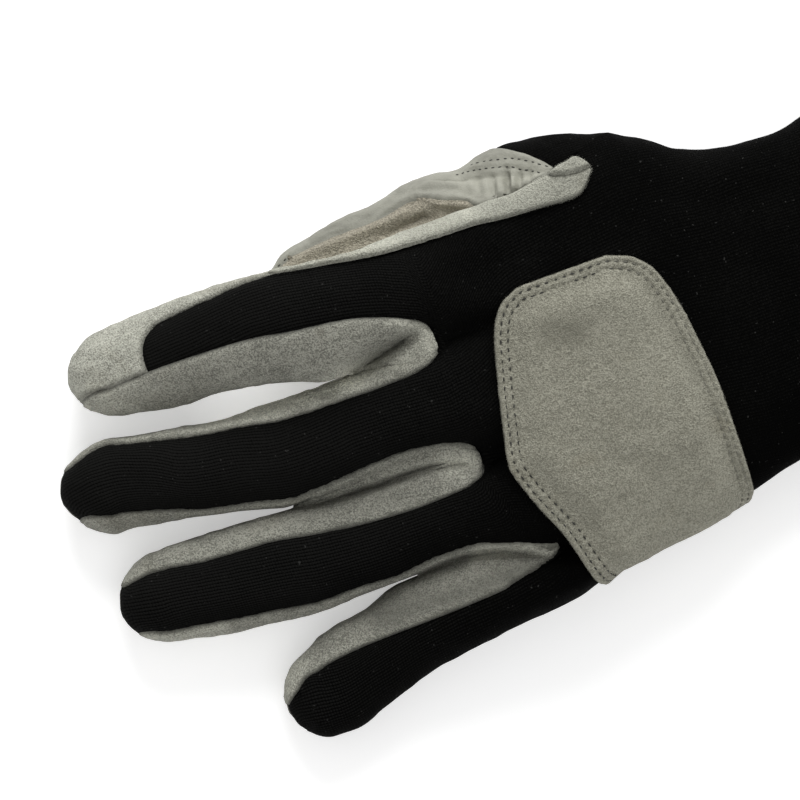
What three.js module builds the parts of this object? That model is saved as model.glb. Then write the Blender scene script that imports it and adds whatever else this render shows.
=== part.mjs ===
import * as THREE from 'three';

// A racing glove for the left hand, lying palm down, in millimetres.
// Modelling frame: +X from the fingertips to the cuff, +Y to the thumb side, +Z up, table at Z = 0.
// The group at the end moves the glove so that the middle of its underside is the origin.

// Driving sizes
const WALL = 1.5;              // cloth, suede and leather walls
const SEAM_GAP = 0.3;          // clearance between two pieces that meet at a seam
const SEAM_SHARE = 0.8;        // how far each of the two draws back, as a share of the clearance
const SKIVE = 1.6;             // how much further a piece's inner edge draws back, in the same measure
const LAP_GAP = 0.45;          // clearance under a piece that laps over another
const FRAME_SHIFT = new THREE.Vector3(-136.4, 4, 0);

// Roundness of a section: 2 is an ellipse, more is squarer
const TOP_ROUND = 2.3;
const BOTTOM_ROUND = 4.0;
const BOTTOM_FLATTEN = 1.05;   // the underside bears on the table over its middle
const BOTTOM_SEAM = 0.84;      // place of the palm's seams, as a share of the half width
const TIP_ROUND = 2.2;         // roundness of a fingertip's outline in plan
const NOSE_ROUND = 2;          // roundness of a fingertip seen from the side
const MIDDLE_SHARE = 0.48;     // height of a finger's widest line, as a share of its thickness

// Mesh divisions
const TOP_QUADS = 4;           // across one finger
const WALL_QUADS = 3;          // down one side wall
const FINGER_ROWS = [0, 0.02, 0.055, 0.11, 0.19, 0.275, 0.39, 0.51, 0.62, 0.72, 0.81, 0.89, 0.95, 1];
const TIP_LENGTH = 14;         // length of a rounded fingertip in plan
const NOSE_LENGTH = 11;        // length over which a fingertip rises to its full height
const TIP_BULGES = [0, 2.2, 3.6, 4.6, 5, 6, 4, 2];   // how far a row's middle leads its ends
const TIP_START = 1.2;         // station of the row after the front seam, from the tip
const TIP_LEAST = 0.6;         // least distance of that row from the tip
const CAP_ROWS = 5;            // rows of the index finger's tip under its suede cap
const TIP_SPREAD = 0.52;       // half width of the front seam, as a share of the full one
const CROTCH_SCOOP = 2;        // how far a crotch's middle lies in front of its seam
const BLEND_LENGTH = 26;       // from a crotch to where the back of the hand is smooth
const WEB_BLEND = { from: 105, length: 80 };   // stations over which the web's share grows

// Fingers: outline, seams of the knit back, and heights at stations along each one
const FINGER_COLUMNS = ['x', 'thumbEdge', 'thumbSeam', 'littleSeam', 'littleEdge', 'bottom', 'top', 'tilt'];
const FINGERS = {
  index: {
    tip: 10.5, thumbEnd: 104, littleEnd: 105,
    sections: [
      [10.5, 50.5, 47.0, 36.0, 29.8, 0, 18.5, 0],
      [20, 51.3, 47.6, 36.2, 28.6, 0, 19.5, 0],
      [35, 52.2, 48.0, 36.8, 26.0, 0.6, 21.5, 0],
      [50, 52.0, 49.3, 36.3, 24.9, 7.5, 28.0, 0],
      [60, 51.0, 49.3, 35.5, 23.0, 12.6, 33.0, 0],
      [70, 49.8, 48.4, 33.7, 20.4, 16.4, 36.8, 0],
      [76, 48.6, 47.2, 33.0, 19.0, 16.4, 38.0, 0],
      [84, 47.4, 46.0, 31.8, 19.8, 16.4, 39.2, 0],
      [94, 46.4, 45.0, 28.6, 20.7, 16.4, 40.0, 0],
      [101, 46.1, 44.8, 24.6, 20.7, 16.4, 40.3, 0],
      [105, 46.0, 44.7, 21.3, 20.4, 16.4, 40.4, 0],
    ],
  },
  middle: {
    tip: -1, thumbEnd: 105, littleEnd: 106.5,
    sections: [
      [-1, 24.0, 22.0, 7.0, 2.0, 0, 19.0, 0],
      [13, 24.6, 23.3, 4.3, 0.2, 0, 20.0, 0],
      [22, 22.8, 21.3, 1.6, -1.4, 0, 20.8, 0],
      [32, 20.8, 18.5, -2.0, -3.5, 0, 21.6, 0],
      [45, 19.1, 16.6, -4.6, -6.1, 0, 23.2, 0],
      [58, 18.4, 13.9, -6.9, -8.9, 0.4, 25.6, 0.8],
      [70, 18.0, 13.0, -6.5, -9.4, 1.8, 28.4, 3],
      [76, 18.3, 12.9, -5.8, -9.4, 2.6, 29.8, 4.4],
      [84, 19.1, 12.6, -5.6, -9.5, 3.6, 32.0, 6.2],
      [94, 19.9, 12.9, -6.6, -9.9, 4.5, 34.4, 8.2],
      [101, 19.8, 14.6, -9.2, -11.4, 4.9, 35.8, 9],
      [106.5, 19.4, 18.4, -12.9, -13.5, 5.0, 36.4, 9.5],
    ],
  },
  ring: {
    tip: 3.5, thumbEnd: 106.5, littleEnd: 116,
    sections: [
      [3.5, -9.4, -12.6, -26.4, -29.4, 0, 18.0, 0],
      [15, -8.0, -12.4, -29.0, -32.0, 0, 19.0, 0],
      [30, -7.7, -14.3, -30.9, -34.5, 0, 20.0, 0],
      [45, -8.3, -15.2, -33.5, -36.5, 0, 21.4, 0],
      [58, -9.8, -17.4, -34.8, -37.1, 0, 22.8, 0],
      [75, -10.2, -19.5, -34.6, -36.5, 0, 25.4, 0],
      [86, -10.3, -20.0, -34.0, -36.0, 0, 27.6, 0],
      [96, -10.9, -19.3, -34.8, -37.0, 0, 29.6, 0],
      [102, -12.6, -18.0, -36.6, -38.4, 0, 30.8, 0],
      [107, -14.4, -15.2, -38.4, -39.7, 0, 31.6, 0],
      [112, -14.6, -15.3, -40.3, -41.1, 0, 32.0, 0],
      [116, -14.6, -15.3, -41.6, -42.2, 0, 32.4, 0],
    ],
  },
  little: {
    tip: 35, thumbEnd: 116, littleEnd: 117,
    sections: [
      [35, -50.2, -54.6, -64.5, -67.2, 0, 15.5, 0],
      [42, -46.6, -52.2, -67.4, -68.8, 0, 16.4, 0],
      [50, -43.0, -50.0, -68.2, -68.8, 0, 17.2, 0],
      [60, -40.7, -49.0, -65.3, -65.9, 0, 18.4, 0],
      [72, -38.0, -48.7, -61.3, -61.9, 0, 20.2, 0],
      [85, -36.8, -48.4, -59.0, -59.6, 0, 22.6, 0],
      [96, -37.8, -47.6, -57.7, -58.3, 0, 24.4, 0],
      [106, -40.4, -46.2, -56.8, -57.4, 0, 25.9, 0],
      [112, -41.9, -45.0, -56.2, -56.8, 0, 26.7, 0],
      [117, -43.0, -43.8, -55.6, -56.2, 0, 27.2, 0],
      [130, -43.0, -43.8, -50.6, -51.2, 0, 27.4, 0],
    ],
  },
};
const FINGER_ORDER = ['index', 'middle', 'ring', 'little'];

// Hand, wrist and cuff: both edges, their heights, the crown's heights and the underside's lift
const HAND_COLUMNS = ['x', 'thumbEdge', 'thumbSeam', 'thumbMid', 'thumbCrown',
  'littleCrown', 'littleMid', 'littleEdge', 'lift'];
const HAND_SECTIONS = [
  [104, 46.0, 44.7, 28.0, 39.6, 27.0, 10.5, -57.4, 16.4],
  [117, 46.1, 44.6, 27.0, 40.0, 28.4, 11.0, -55.4, 15.6],
  [124, 46.6, 44.9, 25.4, 39.8, 28.8, 11.1, -52.9, 13.4],
  [134, 49.4, 45.8, 21.8, 39.0, 29.4, 11.4, -50.7, 9.0],
  [150, 61.0, 48.2, 12.5, 36.0, 29.8, 11.6, -48.9, 0],
  [160, 58.9, 48.0, 11.6, 33.8, 29.6, 11.6, -47.2, 0],
  [170, 52.4, 44.6, 11.4, 31.6, 28.8, 11.5, -45.4, 0],
  [180, 44.6, 38.6, 11.4, 29.4, 27.8, 11.5, -43.0, 0],
  [192, 40.8, 36.0, 11.6, 27.4, 26.8, 11.6, -41.0, 0],
  [205, 39.6, 35.0, 12.0, 27.0, 27.0, 12.0, -41.4, 0],
  [214, 41.8, 37.0, 12.4, 27.8, 27.8, 12.4, -43.2, 0],
  [226, 45.6, 40.5, 13.4, 29.6, 29.6, 13.4, -46.4, 0],
  [245, 50.6, 45.0, 15.0, 32.0, 32.0, 15.0, -51.0, 0],
  [274, 55.0, 49.0, 16.6, 34.2, 34.2, 16.6, -55.0, 0],
];
const LIFT_FROM_Y = -8;        // the palm rises over the thumb from here
const LIFT_TO_Y = 27;

// Rows of the hand: shares of the way from the crotches to ROW_PLANE, then stations across the glove
const ROW_PLANE = 150;
const HAND_SHARES = [0, 1 / 6, 2 / 6, 3 / 6, 4 / 6, 5 / 6, 1];
const HAND_STATIONS = [160, 170, 180, 191, 202, 214, 226];
const CUFF_STATIONS = [240, 254, 267];
const MOUTH_STATION = 274;
const CUFF_FIRST_ROW = HAND_SHARES.length + HAND_STATIONS.length - 1;
const BINDING_ROW = CUFF_FIRST_ROW + CUFF_STATIONS.length;
const SHEAR_DECAY = [1, 0.45, 0.15];   // how the slant behind the thumb root fades, row by row

// Thumb: from its root in the side of the hand to its tip under the index finger
const THUMB_HOLE_ROWS = [1, 6];
const THUMB_SHARES = [0.3, 0.62, 1];    // rows from the root to where the thumb is a plain tube
const THUMB_STATIONS = [101, 94, 87, 80, 73.5, 69, 66.6];
const THUMB_COLUMNS = ['x', 'outerEdge', 'innerEdge', 'height', 'mid'];
const THUMB_SECTIONS = [
  [66.0, 51.4, 35.0, 11.0, 6.0],
  [76, 54.6, 33.0, 14.6, 7.2],
  [90, 57.2, 32.2, 15.6, 7.8],
  [100, 57.9, 32.2, 15.8, 8.0],
  [108, 59.3, 32.4, 15.9, 8.0],
  [118, 60.1, 33.4, 17.5, 8.6],
  [128, 60.2, 36.0, 20.5, 10.0],
];
const THUMB_TIP = 65.6;
const THUMB_TIP_LENGTH = 12;
const THUMB_JOIN = 108;        // here the thumb is a plain tube
const ROOT_FRONT = 0.5;        // the root's points this near its front stay below the thumb's crown
const THUMB_ANGLES = [78, 57, 47, 38, 29, 19, -4, -40, -75, -92, -108, -124, -142, -165, -200, -240];
const THUMB_TURN = 18;         // degrees by which the seams turn outwards towards the tip
const THUMB_TOP_SEAM = 1;      // columns of the thumb at which its two halves meet
const THUMB_LOW_SEAM = 13;

// Ring columns of the hand, counted from the thumb side over the back and round underneath
const WEB_STEP = TOP_QUADS + 1;
const TOP_END = 4 * WEB_STEP - 1;
const LOW_START = TOP_END + WALL_QUADS;
const LOW_END = LOW_START + TOP_END;
const RING = LOW_END + WALL_QUADS;
const THUMB_LOW_COLUMN = LOW_END - 3;   // the thumb's root lies between this column and LOW_END
const HAND_ROUND = 2.8;
const HAND_BOTTOM_SEAM = 0.95;
const LITTLE_SEAM = 0.995;     // the knit's seam there, as a share of the half width
const FINGER_WIDTHS = [26.5, 31.5, 26.6, 12.5];   // shares of the back that lead to each finger
const WEB_WIDTHS = { crotch: 2.2, wrist: 6 };

// Thumb side of the hand: 0 is the knit's seam, 1 the palm's, more is under the palm
const SIDE_COLUMNS = ['x', 'k43', 'k42', 'k41', 'k40', 'k39', 'k38', 'k37'];
const SIDE_SHARES = [
  [112, 0.333, 0.667, 1, 1.058, 1.116, 1.175, 1.234],
  [137, 0.06, 0.12, 0.19, 0.58, 1, 1.09, 1.18],
  [150, 0.03, 0.06, 0.1, 0.52, 1, 1.09, 1.18],
  [170, 0.2, 0.4, 0.6, 0.8, 1, 1.08, 1.16],
];
const SIDE_SHEAR = {
  k44: -1, k43: -1.5, k42: -2, k41: -2, k40: -14, k39: -16, k38: -10, k37: -6, k36: -4,
};

// Patch over the knuckles: front and back edges across the hand, from its thumb edge to its wrapped end
const PATCH_COLUMNS = ['share', 'front', 'back'];
const PATCH_EDGES = [
  [0, 128, 152],
  [0.03, 122.5, 158],
  [0.09, 118.8, 162.5],
  [0.21, 115.6, 165.6],
  [0.37, 112.2, 167.4],
  [0.47, 110.6, 168.2],
  [0.55, 112.4, 168.5],
  [0.72, 118.0, 168.4],
  [0.87, 121.0, 168.0],
  [1, 124.0, 165.0],
];
const PATCH_SHARES = [
  0, 0.03, 0.09, 0.15, 0.22, 0.29, 0.36, 0.42, 0.47, 0.53, 0.6, 0.67, 0.74, 0.8, 0.85, 0.9, 0.95, 1,
];
const PATCH_DEPTHS = [0, 0.07, 0.14, 0.24, 0.36, 0.48, 0.6, 0.74, 0.86, 0.93, 1];
const PATCH_THUMB_Y = 24.5;
const PATCH_WIDTH = 90;        // along the patch, across the hand
const PATCH_WRAP = 5;          // how far it goes down the little finger's side
const PATCH_GAP = 0.75;        // clearance under it
const PATCH_LEATHER = 1.4;     // thickness of its flat border
const PATCH_PAD = 2.6;         // how much thicker its padded middle is
const PATCH_BORDER = 2.5;      // width of the border
const PATCH_RISE = 5;          // width over which the padding reaches its full thickness

// Raw-cut strip along the index finger: its inner edge on the knit, at stations
const STRIP_COLUMNS = ['x', 'innerEdge', 'drop'];
const STRIP_EDGES = [
  [70, 48.6, 1.0],
  [75, 47.8, 3],
  [85, 45.6, 4],
  [95, 44.0, 4.5],
  [110, 43.2, 4.5],
  [130, 42.6, 4],
  [144, 42.0, 3.5],
  [152, 41.9, 3],
  [155.5, 44.6, 1.5],
];
const STRIP_THICKNESS = 1.9;
const STRIP_ROWS = 16;         // quads along it
const STRIP_QUADS = 4;         // quads across it

// Tab on the cuff
const TAB = { end: 208.5, radius: 16, length: 44, y: 30.5, thickness: 1.8 };
const TAB_ROUND_ROWS = 5;
const TAB_FIRST_ROW = 0.35;    // place of its cut end in the round, in rows
const TAB_ROWS = 3;
const TAB_QUADS = 6;

const COLOURS = {
  knit: { color: 0x121211, roughness: 0.92, metalness: 0 },
  suede: { color: 0x9b998e, roughness: 0.95, metalness: 0 },
  leather: { color: 0x8f8d86, roughness: 0.5, metalness: 0 },
  pinkSuede: { color: 0xa3958a, roughness: 0.95, metalness: 0 },
};

// Numbers
const mix = (a, b, t) => a + (b - a) * t;
const clamp = (t, low = 0, high = 1) => Math.min(high, Math.max(low, t));
const ease = (t) => clamp(t) ** 2 * (3 - 2 * clamp(t));

// A smooth curve through one column of a table, which never overshoots its rows
function columnCurve(xs, values) {
  const steps = xs.slice(1).map((x, i) => x - xs[i]);
  const slopes = steps.map((step, i) => (values[i + 1] - values[i]) / step);
  const tangents = values.map((_, i) => {
    if (i === 0 || i === values.length - 1) return i ? slopes[i - 1] : slopes[0];
    if (slopes[i - 1] * slopes[i] <= 0) return 0;
    return 2 / (1 / slopes[i - 1] + 1 / slopes[i]);
  });
  return (x) => {
    if (x <= xs[0]) return values[0];
    if (x >= xs.at(-1)) return values.at(-1);
    const i = xs.findIndex((edge) => edge > x) - 1;
    const t = (x - xs[i]) / steps[i];
    const rise = values[i] * (1 + 2 * t) * (1 - t) ** 2 + values[i + 1] * t * t * (3 - 2 * t);
    return rise + steps[i] * t * (1 - t) * (tangents[i] * (1 - t) - tangents[i + 1] * t);
  };
}

// A table as a function that gives an object of all its named columns at a station
function readTable(columns, rows) {
  const xs = rows.map((row) => row[0]);
  const curves = columns.map((_, i) => columnCurve(xs, rows.map((row) => row[i])));
  return (x) => Object.fromEntries(columns.map((name, i) => [name, curves[i](x)]));
}

const handTable = readTable(HAND_COLUMNS, HAND_SECTIONS);
const sideTable = readTable(SIDE_COLUMNS, SIDE_SHARES);
const thumbTable = readTable(THUMB_COLUMNS, THUMB_SECTIONS);
const patchTable = readTable(PATCH_COLUMNS, PATCH_EDGES);
const stripTable = readTable(STRIP_COLUMNS, STRIP_EDGES);
const fingerTables = FINGER_ORDER.map((name) => readTable(FINGER_COLUMNS, FINGERS[name].sections));

// Rise of a rounded end: 0 at the very tip, 1 from its length on
const roundedEnd = (distance, length, power) => (1 - (1 - clamp(distance / length)) ** power) ** (1 / power);

// A section has a centre, a half width, heights at both edges and a roundness above and below.
// Its angle is 0 over the top, 90 degrees at the thumb edge and 180 underneath.
function sectionPoint(section, x, angle) {
  const isTop = Math.cos(angle) >= 0;
  const power = 2 / (isTop ? section.topRound : BOTTOM_ROUND);
  const across = Math.sign(Math.sin(angle)) * Math.abs(Math.sin(angle)) ** power;
  const height = Math.abs(Math.cos(angle)) ** power * section.rise;
  const share = (across + 1) / 2;
  const y = section.centre + across * section.half;
  const middle = mix(section.littleMid, section.thumbMid, share);
  const crown = mix(section.littleCrown, section.thumbCrown, share);
  const under = section.under(y);
  const z = isTop ? middle + (crown - middle) * height
    : middle - (middle - under) * Math.min(1, height * BOTTOM_FLATTEN);
  return new THREE.Vector3(x, y, z);
}

// Angle at which a section crosses a share of its half width
function angleAt(across, round, isTop) {
  const angle = Math.asin(clamp(Math.abs(across)) ** (round / 2)) * Math.sign(across);
  return isTop ? angle : Math.sign(across) * Math.PI - angle;
}

function fingerSection(index, x) {
  const row = fingerTables[index](x);
  const tip = FINGERS[FINGER_ORDER[index]].tip;
  const width = roundedEnd(x - tip, TIP_LENGTH, TIP_ROUND);
  const centre = (row.thumbEdge + row.littleEdge) / 2;
  const half = (row.thumbEdge - row.littleEdge) / 2;
  const middle = mix(row.bottom, row.top, MIDDLE_SHARE);
  const tilt = row.tilt / 2;
  return {
    centre, half: half * width, topRound: TOP_ROUND,
    rise: roundedEnd(x - tip, NOSE_LENGTH, NOSE_ROUND),
    thumbMid: middle + tilt, littleMid: middle - tilt, thumbCrown: row.top, littleCrown: row.top,
    under: (y) => row.bottom + (tilt * (y - centre)) / half,
    thumbSeam: (row.thumbSeam - centre) / half,
    littleSeam: (row.littleSeam - centre) / half,
  };
}

// Ring columns of a finger: 0 to 4 over the top, then one wall, the underside and the other wall
const FINGER_RING = 2 * (TOP_QUADS + WALL_QUADS);
function fingerPoint(index, x, column) {
  const section = fingerSection(index, x);
  const corners = [
    angleAt(section.thumbSeam, TOP_ROUND, true),
    angleAt(section.littleSeam, TOP_ROUND, true),
    angleAt(-BOTTOM_SEAM, BOTTOM_ROUND, false),
    angleAt(BOTTOM_SEAM, BOTTOM_ROUND, false) - 2 * Math.PI,
  ];
  corners.push(corners[0] - 2 * Math.PI);
  const sides = [TOP_QUADS, WALL_QUADS, TOP_QUADS, WALL_QUADS];
  let start = 0;
  let side = 0;
  while (side < 3 && column > start + sides[side]) {
    start += sides[side];
    side += 1;
  }
  const angle = mix(corners[side], corners[side + 1], (column - start) / sides[side]);
  return sectionPoint(section, x, angle);
}

// Share from the thumb side of a finger to its little side, and height share down a wall
function ringPlace(column) {
  if (column <= TOP_QUADS) return { side: column / TOP_QUADS, wall: 0 };
  if (column < TOP_QUADS + WALL_QUADS) return { side: 1, wall: (column - TOP_QUADS) / WALL_QUADS };
  const rest = column - TOP_QUADS - WALL_QUADS;
  if (rest <= TOP_QUADS) return { side: 1 - rest / TOP_QUADS, wall: 0 };
  return { side: 0, wall: (rest - TOP_QUADS) / WALL_QUADS };
}

// Station at which a finger's column reaches the hand
function fingerEnd(index, column) {
  const { thumbEnd, littleEnd } = FINGERS[FINGER_ORDER[index]];
  const { side, wall } = ringPlace(column);
  const isCrotch = (side === 1 && index < 3) || (side === 0 && index > 0);
  return mix(thumbEnd, littleEnd, side) - (isCrotch ? CROTCH_SCOOP * Math.sin(Math.PI * wall) : 0);
}

// The finger column or columns that a ring column of the hand carries on
function handToFinger(column) {
  if (column > LOW_END) return [{ index: 0, column: column - LOW_END + TOP_QUADS + WALL_QUADS + TOP_QUADS }];
  if (column > TOP_END && column < LOW_START) return [{ index: 3, column: column - TOP_END + TOP_QUADS }];
  const isTop = column <= TOP_END;
  const local = isTop ? column : column - LOW_START;
  const block = Math.min(3, Math.floor(local / WEB_STEP));
  const place = local - block * WEB_STEP;
  const finger = isTop ? block : 3 - block;
  const next = isTop ? finger + 1 : finger - 1;
  const offset = isTop ? 0 : TOP_QUADS + WALL_QUADS;
  if (place <= TOP_QUADS) return [{ index: finger, column: offset + place }];
  return [{ index: finger, column: offset + TOP_QUADS }, { index: next, column: offset }, place - TOP_QUADS];
}

function handStart(column) {
  const [first, second, share] = handToFinger(column);
  const start = fingerEnd(first.index, first.column);
  return second ? mix(start, fingerEnd(second.index, second.column), share) : start;
}

function carriedFinger(x, column) {
  const [first, second, share] = handToFinger(column);
  const point = fingerPoint(first.index, x, first.column);
  return second ? point.lerp(fingerPoint(second.index, x, second.column), share) : point;
}

function handSection(x) {
  const row = handTable(x);
  const centre = (row.thumbEdge + row.littleEdge) / 2;
  const half = (row.thumbEdge - row.littleEdge) / 2;
  return {
    ...row, centre, half, topRound: HAND_ROUND, rise: 1,
    thumbSeam: (row.thumbSeam - centre) / half,
    littleSeam: -LITTLE_SEAM,
    under: (y) => row.lift * ease((y - LIFT_FROM_Y) / (LIFT_TO_Y - LIFT_FROM_Y)),
  };
}

// Share of the hand's width at a column over the fingers' blocks, 0 on the thumb side
function blockShare(local, web) {
  const block = Math.min(3, Math.floor(local / WEB_STEP));
  const place = local - block * WEB_STEP;
  const before = FINGER_WIDTHS.slice(0, block).reduce((sum, width) => sum + width + web, 0);
  const total = FINGER_WIDTHS.reduce((sum, width) => sum + width, 3 * web);
  const inside = Math.min(1, place / TOP_QUADS) * FINGER_WIDTHS[block] + Math.max(0, place - TOP_QUADS) * web;
  return (before + inside) / total;
}

// Place of a thumb-side column between the knit's seam and the palm's, from the table of shares
function sideShare(x, column) {
  const row = { ...sideTable(x), k44: 0 };
  const low = Math.min(RING - 1, Math.floor(column));
  return mix(row[`k${low}`], row[`k${low + 1}`], column - low);
}

function handAngle(section, x, column) {
  const web = mix(WEB_WIDTHS.crotch, WEB_WIDTHS.wrist, ease((x - WEB_BLEND.from) / WEB_BLEND.length));
  if (column <= TOP_END) {
    const across = mix(section.thumbSeam, section.littleSeam, blockShare(column, web));
    return angleAt(across, HAND_ROUND, true);
  }
  const littleTop = angleAt(section.littleSeam, HAND_ROUND, true);
  const littleLow = angleAt(-HAND_BOTTOM_SEAM, BOTTOM_ROUND, false);
  if (column < LOW_START) return mix(littleTop, littleLow, (column - TOP_END) / WALL_QUADS);
  const indexLow = LOW_END - TOP_QUADS;
  const share = column >= indexLow ? sideShare(x, column) : mix(
    sideShare(x, indexLow), 2,
    (blockShare(LOW_END - column, web) - blockShare(TOP_QUADS, web)) / (1 - blockShare(TOP_QUADS, web)),
  );
  if (share >= 1) {
    const across = mix(HAND_BOTTOM_SEAM, -HAND_BOTTOM_SEAM, share - 1);
    const angle = angleAt(across, BOTTOM_ROUND, false);
    return across > 0 ? angle - 2 * Math.PI : angle;
  }
  const top = angleAt(section.thumbSeam, HAND_ROUND, true) - 2 * Math.PI;
  return mix(top, angleAt(HAND_BOTTOM_SEAM, BOTTOM_ROUND, false) - 2 * Math.PI, share);
}

function handPoint(x, column) {
  const section = handSection(x);
  const point = sectionPoint(section, x, handAngle(section, x, column));
  const weight = ease((x - handStart(column)) / BLEND_LENGTH);
  return weight >= 1 ? point : carriedFinger(x, column).lerp(point, weight);
}

// The form: one smooth surface whose faces are shared out among the pieces
const form = { points: [], faces: [] };

function addPoint(point) {
  form.points.push(point);
  return form.points.length - 1;
}

function addFace(piece, ...corners) {
  const distinct = corners.filter((corner, i) => corner !== corners[(i + 1) % corners.length]);
  if (distinct.length > 2) form.faces.push({ piece, corners: distinct });
}

const FOURCHETTES = ['fourchette_index_middle', 'fourchette_middle_ring', 'fourchette_ring_little'];

function fingerPiece(index, column, row) {
  if (column < TOP_QUADS) return index === 0 && row < CAP_ROWS ? 'index_side' : 'back_panel';
  if (column < TOP_QUADS + WALL_QUADS) return index < 3 ? FOURCHETTES[index] : 'palm';
  if (column < 2 * TOP_QUADS + WALL_QUADS) return 'palm';
  return index > 0 ? FOURCHETTES[index - 1] : 'index_side';
}

// Rows of one finger, from its tip to the hand; the first row is one seam round the front
function buildFinger(index) {
  const { tip } = FINGERS[FINGER_ORDER[index]];
  const rows = FINGER_ROWS.map((share, row) => {
    const ring = [];
    for (let column = 0; column < FINGER_RING; column += 1) {
      const { side } = ringPlace(column);
      if (row === 0) {
        const section = fingerSection(index, tip + TIP_LENGTH);
        const across = mix(TIP_SPREAD, -TIP_SPREAD, side);
        const setBack = TIP_LENGTH * (1 - (1 - Math.abs(across) ** TIP_ROUND) ** (1 / TIP_ROUND));
        const near = fingerSection(index, tip);
        const mirrored = ring.find((entry) => entry.side === side);
        const point = new THREE.Vector3(tip + setBack, near.centre + across * section.half, near.thumbMid);
        ring.push({ side, id: mirrored ? mirrored.id : addPoint(point) });
      } else {
        const bulge = (TIP_BULGES[row] ?? 0) * (1 - (2 * side - 1) ** 2);
        const reach = mix(tip + TIP_START, fingerEnd(index, column), share);
        const x = Math.max(tip + TIP_LEAST, reach - bulge);
        ring.push({ side, id: addPoint(fingerPoint(index, x, column)) });
      }
    }
    return ring.map((entry) => entry.id);
  });
  for (let row = 0; row + 1 < rows.length; row += 1) {
    for (let column = 0; column < FINGER_RING; column += 1) {
      const next = (column + 1) % FINGER_RING;
      addFace(fingerPiece(index, column, row),
        rows[row][column], rows[row][next], rows[row + 1][next], rows[row + 1][column]);
    }
  }
  return rows.at(-1);
}

// Wall at the end of the gap between two fingers
function buildCrotch(index, rings) {
  const near = rings[index];
  const far = rings[index + 1];
  for (let step = 0; step < WALL_QUADS; step += 1) {
    const upper = (FINGER_RING - step) % FINGER_RING;
    const lower = FINGER_RING - step - 1;
    addFace(FOURCHETTES[index], far[upper], near[TOP_QUADS + step], near[TOP_QUADS + step + 1], far[lower]);
  }
}

function handPiece(column, row) {
  if (row >= CUFF_FIRST_ROW) return row < BINDING_ROW ? 'cuff' : 'cuff_binding';
  if (column < TOP_END) return 'back_panel';
  if (column >= LOW_END) return row < THUMB_HOLE_ROWS[1] ? 'index_side' : 'back_panel';
  if (column < THUMB_LOW_COLUMN || row < THUMB_HOLE_ROWS[0]) return 'palm';
  if (row < THUMB_HOLE_ROWS[1]) return null;
  return column > THUMB_LOW_COLUMN ? 'back_panel' : 'palm';
}

// Slant of the rows behind the thumb root
function shearAt(column, row) {
  const reach = SIDE_SHEAR[`k${column || RING}`] ?? 0;
  const last = THUMB_HOLE_ROWS[1];
  return reach * (row <= last ? (row / last) ** 3 : SHEAR_DECAY[row - last] ?? 0);
}

function buildHand(rings) {
  const first = [];
  rings.forEach((ring) => first.push(...ring.slice(0, TOP_QUADS + 1)));
  const wall = TOP_QUADS + WALL_QUADS;
  first.push(...rings[3].slice(TOP_QUADS + 1, wall));
  rings.slice().reverse().forEach((ring) => first.push(...ring.slice(wall, wall + TOP_QUADS + 1)));
  first.push(...rings[0].slice(wall + TOP_QUADS + 1));
  const rows = [first];
  const stations = [...HAND_STATIONS, ...CUFF_STATIONS, MOUTH_STATION];
  const count = HAND_SHARES.length + stations.length;
  for (let row = 1; row < count; row += 1) {
    const ring = first.map((_, column) => {
      const share = HAND_SHARES[row];
      const x = share === undefined ? stations[row - HAND_SHARES.length]
        : mix(handStart(column), ROW_PLANE, share);
      const point = handPoint(x, column);
      point.x += shearAt(column, row);
      return addPoint(point);
    });
    rows.push(ring);
  }
  for (let row = 0; row + 1 < count; row += 1) {
    for (let column = 0; column < RING; column += 1) {
      const piece = handPiece(column, row);
      const next = (column + 1) % RING;
      const behind = rows[row + 1];
      if (piece) addFace(piece, rows[row][column], rows[row][next], behind[next], behind[column]);
    }
  }
  return rows;
}

function thumbSection(x) {
  const row = thumbTable(x);
  return {
    centre: (row.outerEdge + row.innerEdge) / 2,
    half: ((row.outerEdge - row.innerEdge) / 2) * roundedEnd(x - THUMB_TIP, THUMB_TIP_LENGTH, TIP_ROUND),
    topRound: TOP_ROUND, rise: roundedEnd(x - THUMB_TIP, NOSE_LENGTH, NOSE_ROUND),
    thumbMid: row.mid, littleMid: row.mid, thumbCrown: row.height, littleCrown: row.height,
    under: () => 0,
  };
}

function thumbPoint(x, column) {
  const turn = THUMB_TURN * clamp((THUMB_JOIN - x) / (THUMB_JOIN - THUMB_TIP));
  return sectionPoint(thumbSection(x), x, ((90 - THUMB_ANGLES[column] + turn) * Math.PI) / 180);
}

function thumbPiece(column) {
  return column >= THUMB_TOP_SEAM && column < THUMB_LOW_SEAM ? 'thumb_outer' : 'thumb_inner';
}

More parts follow.
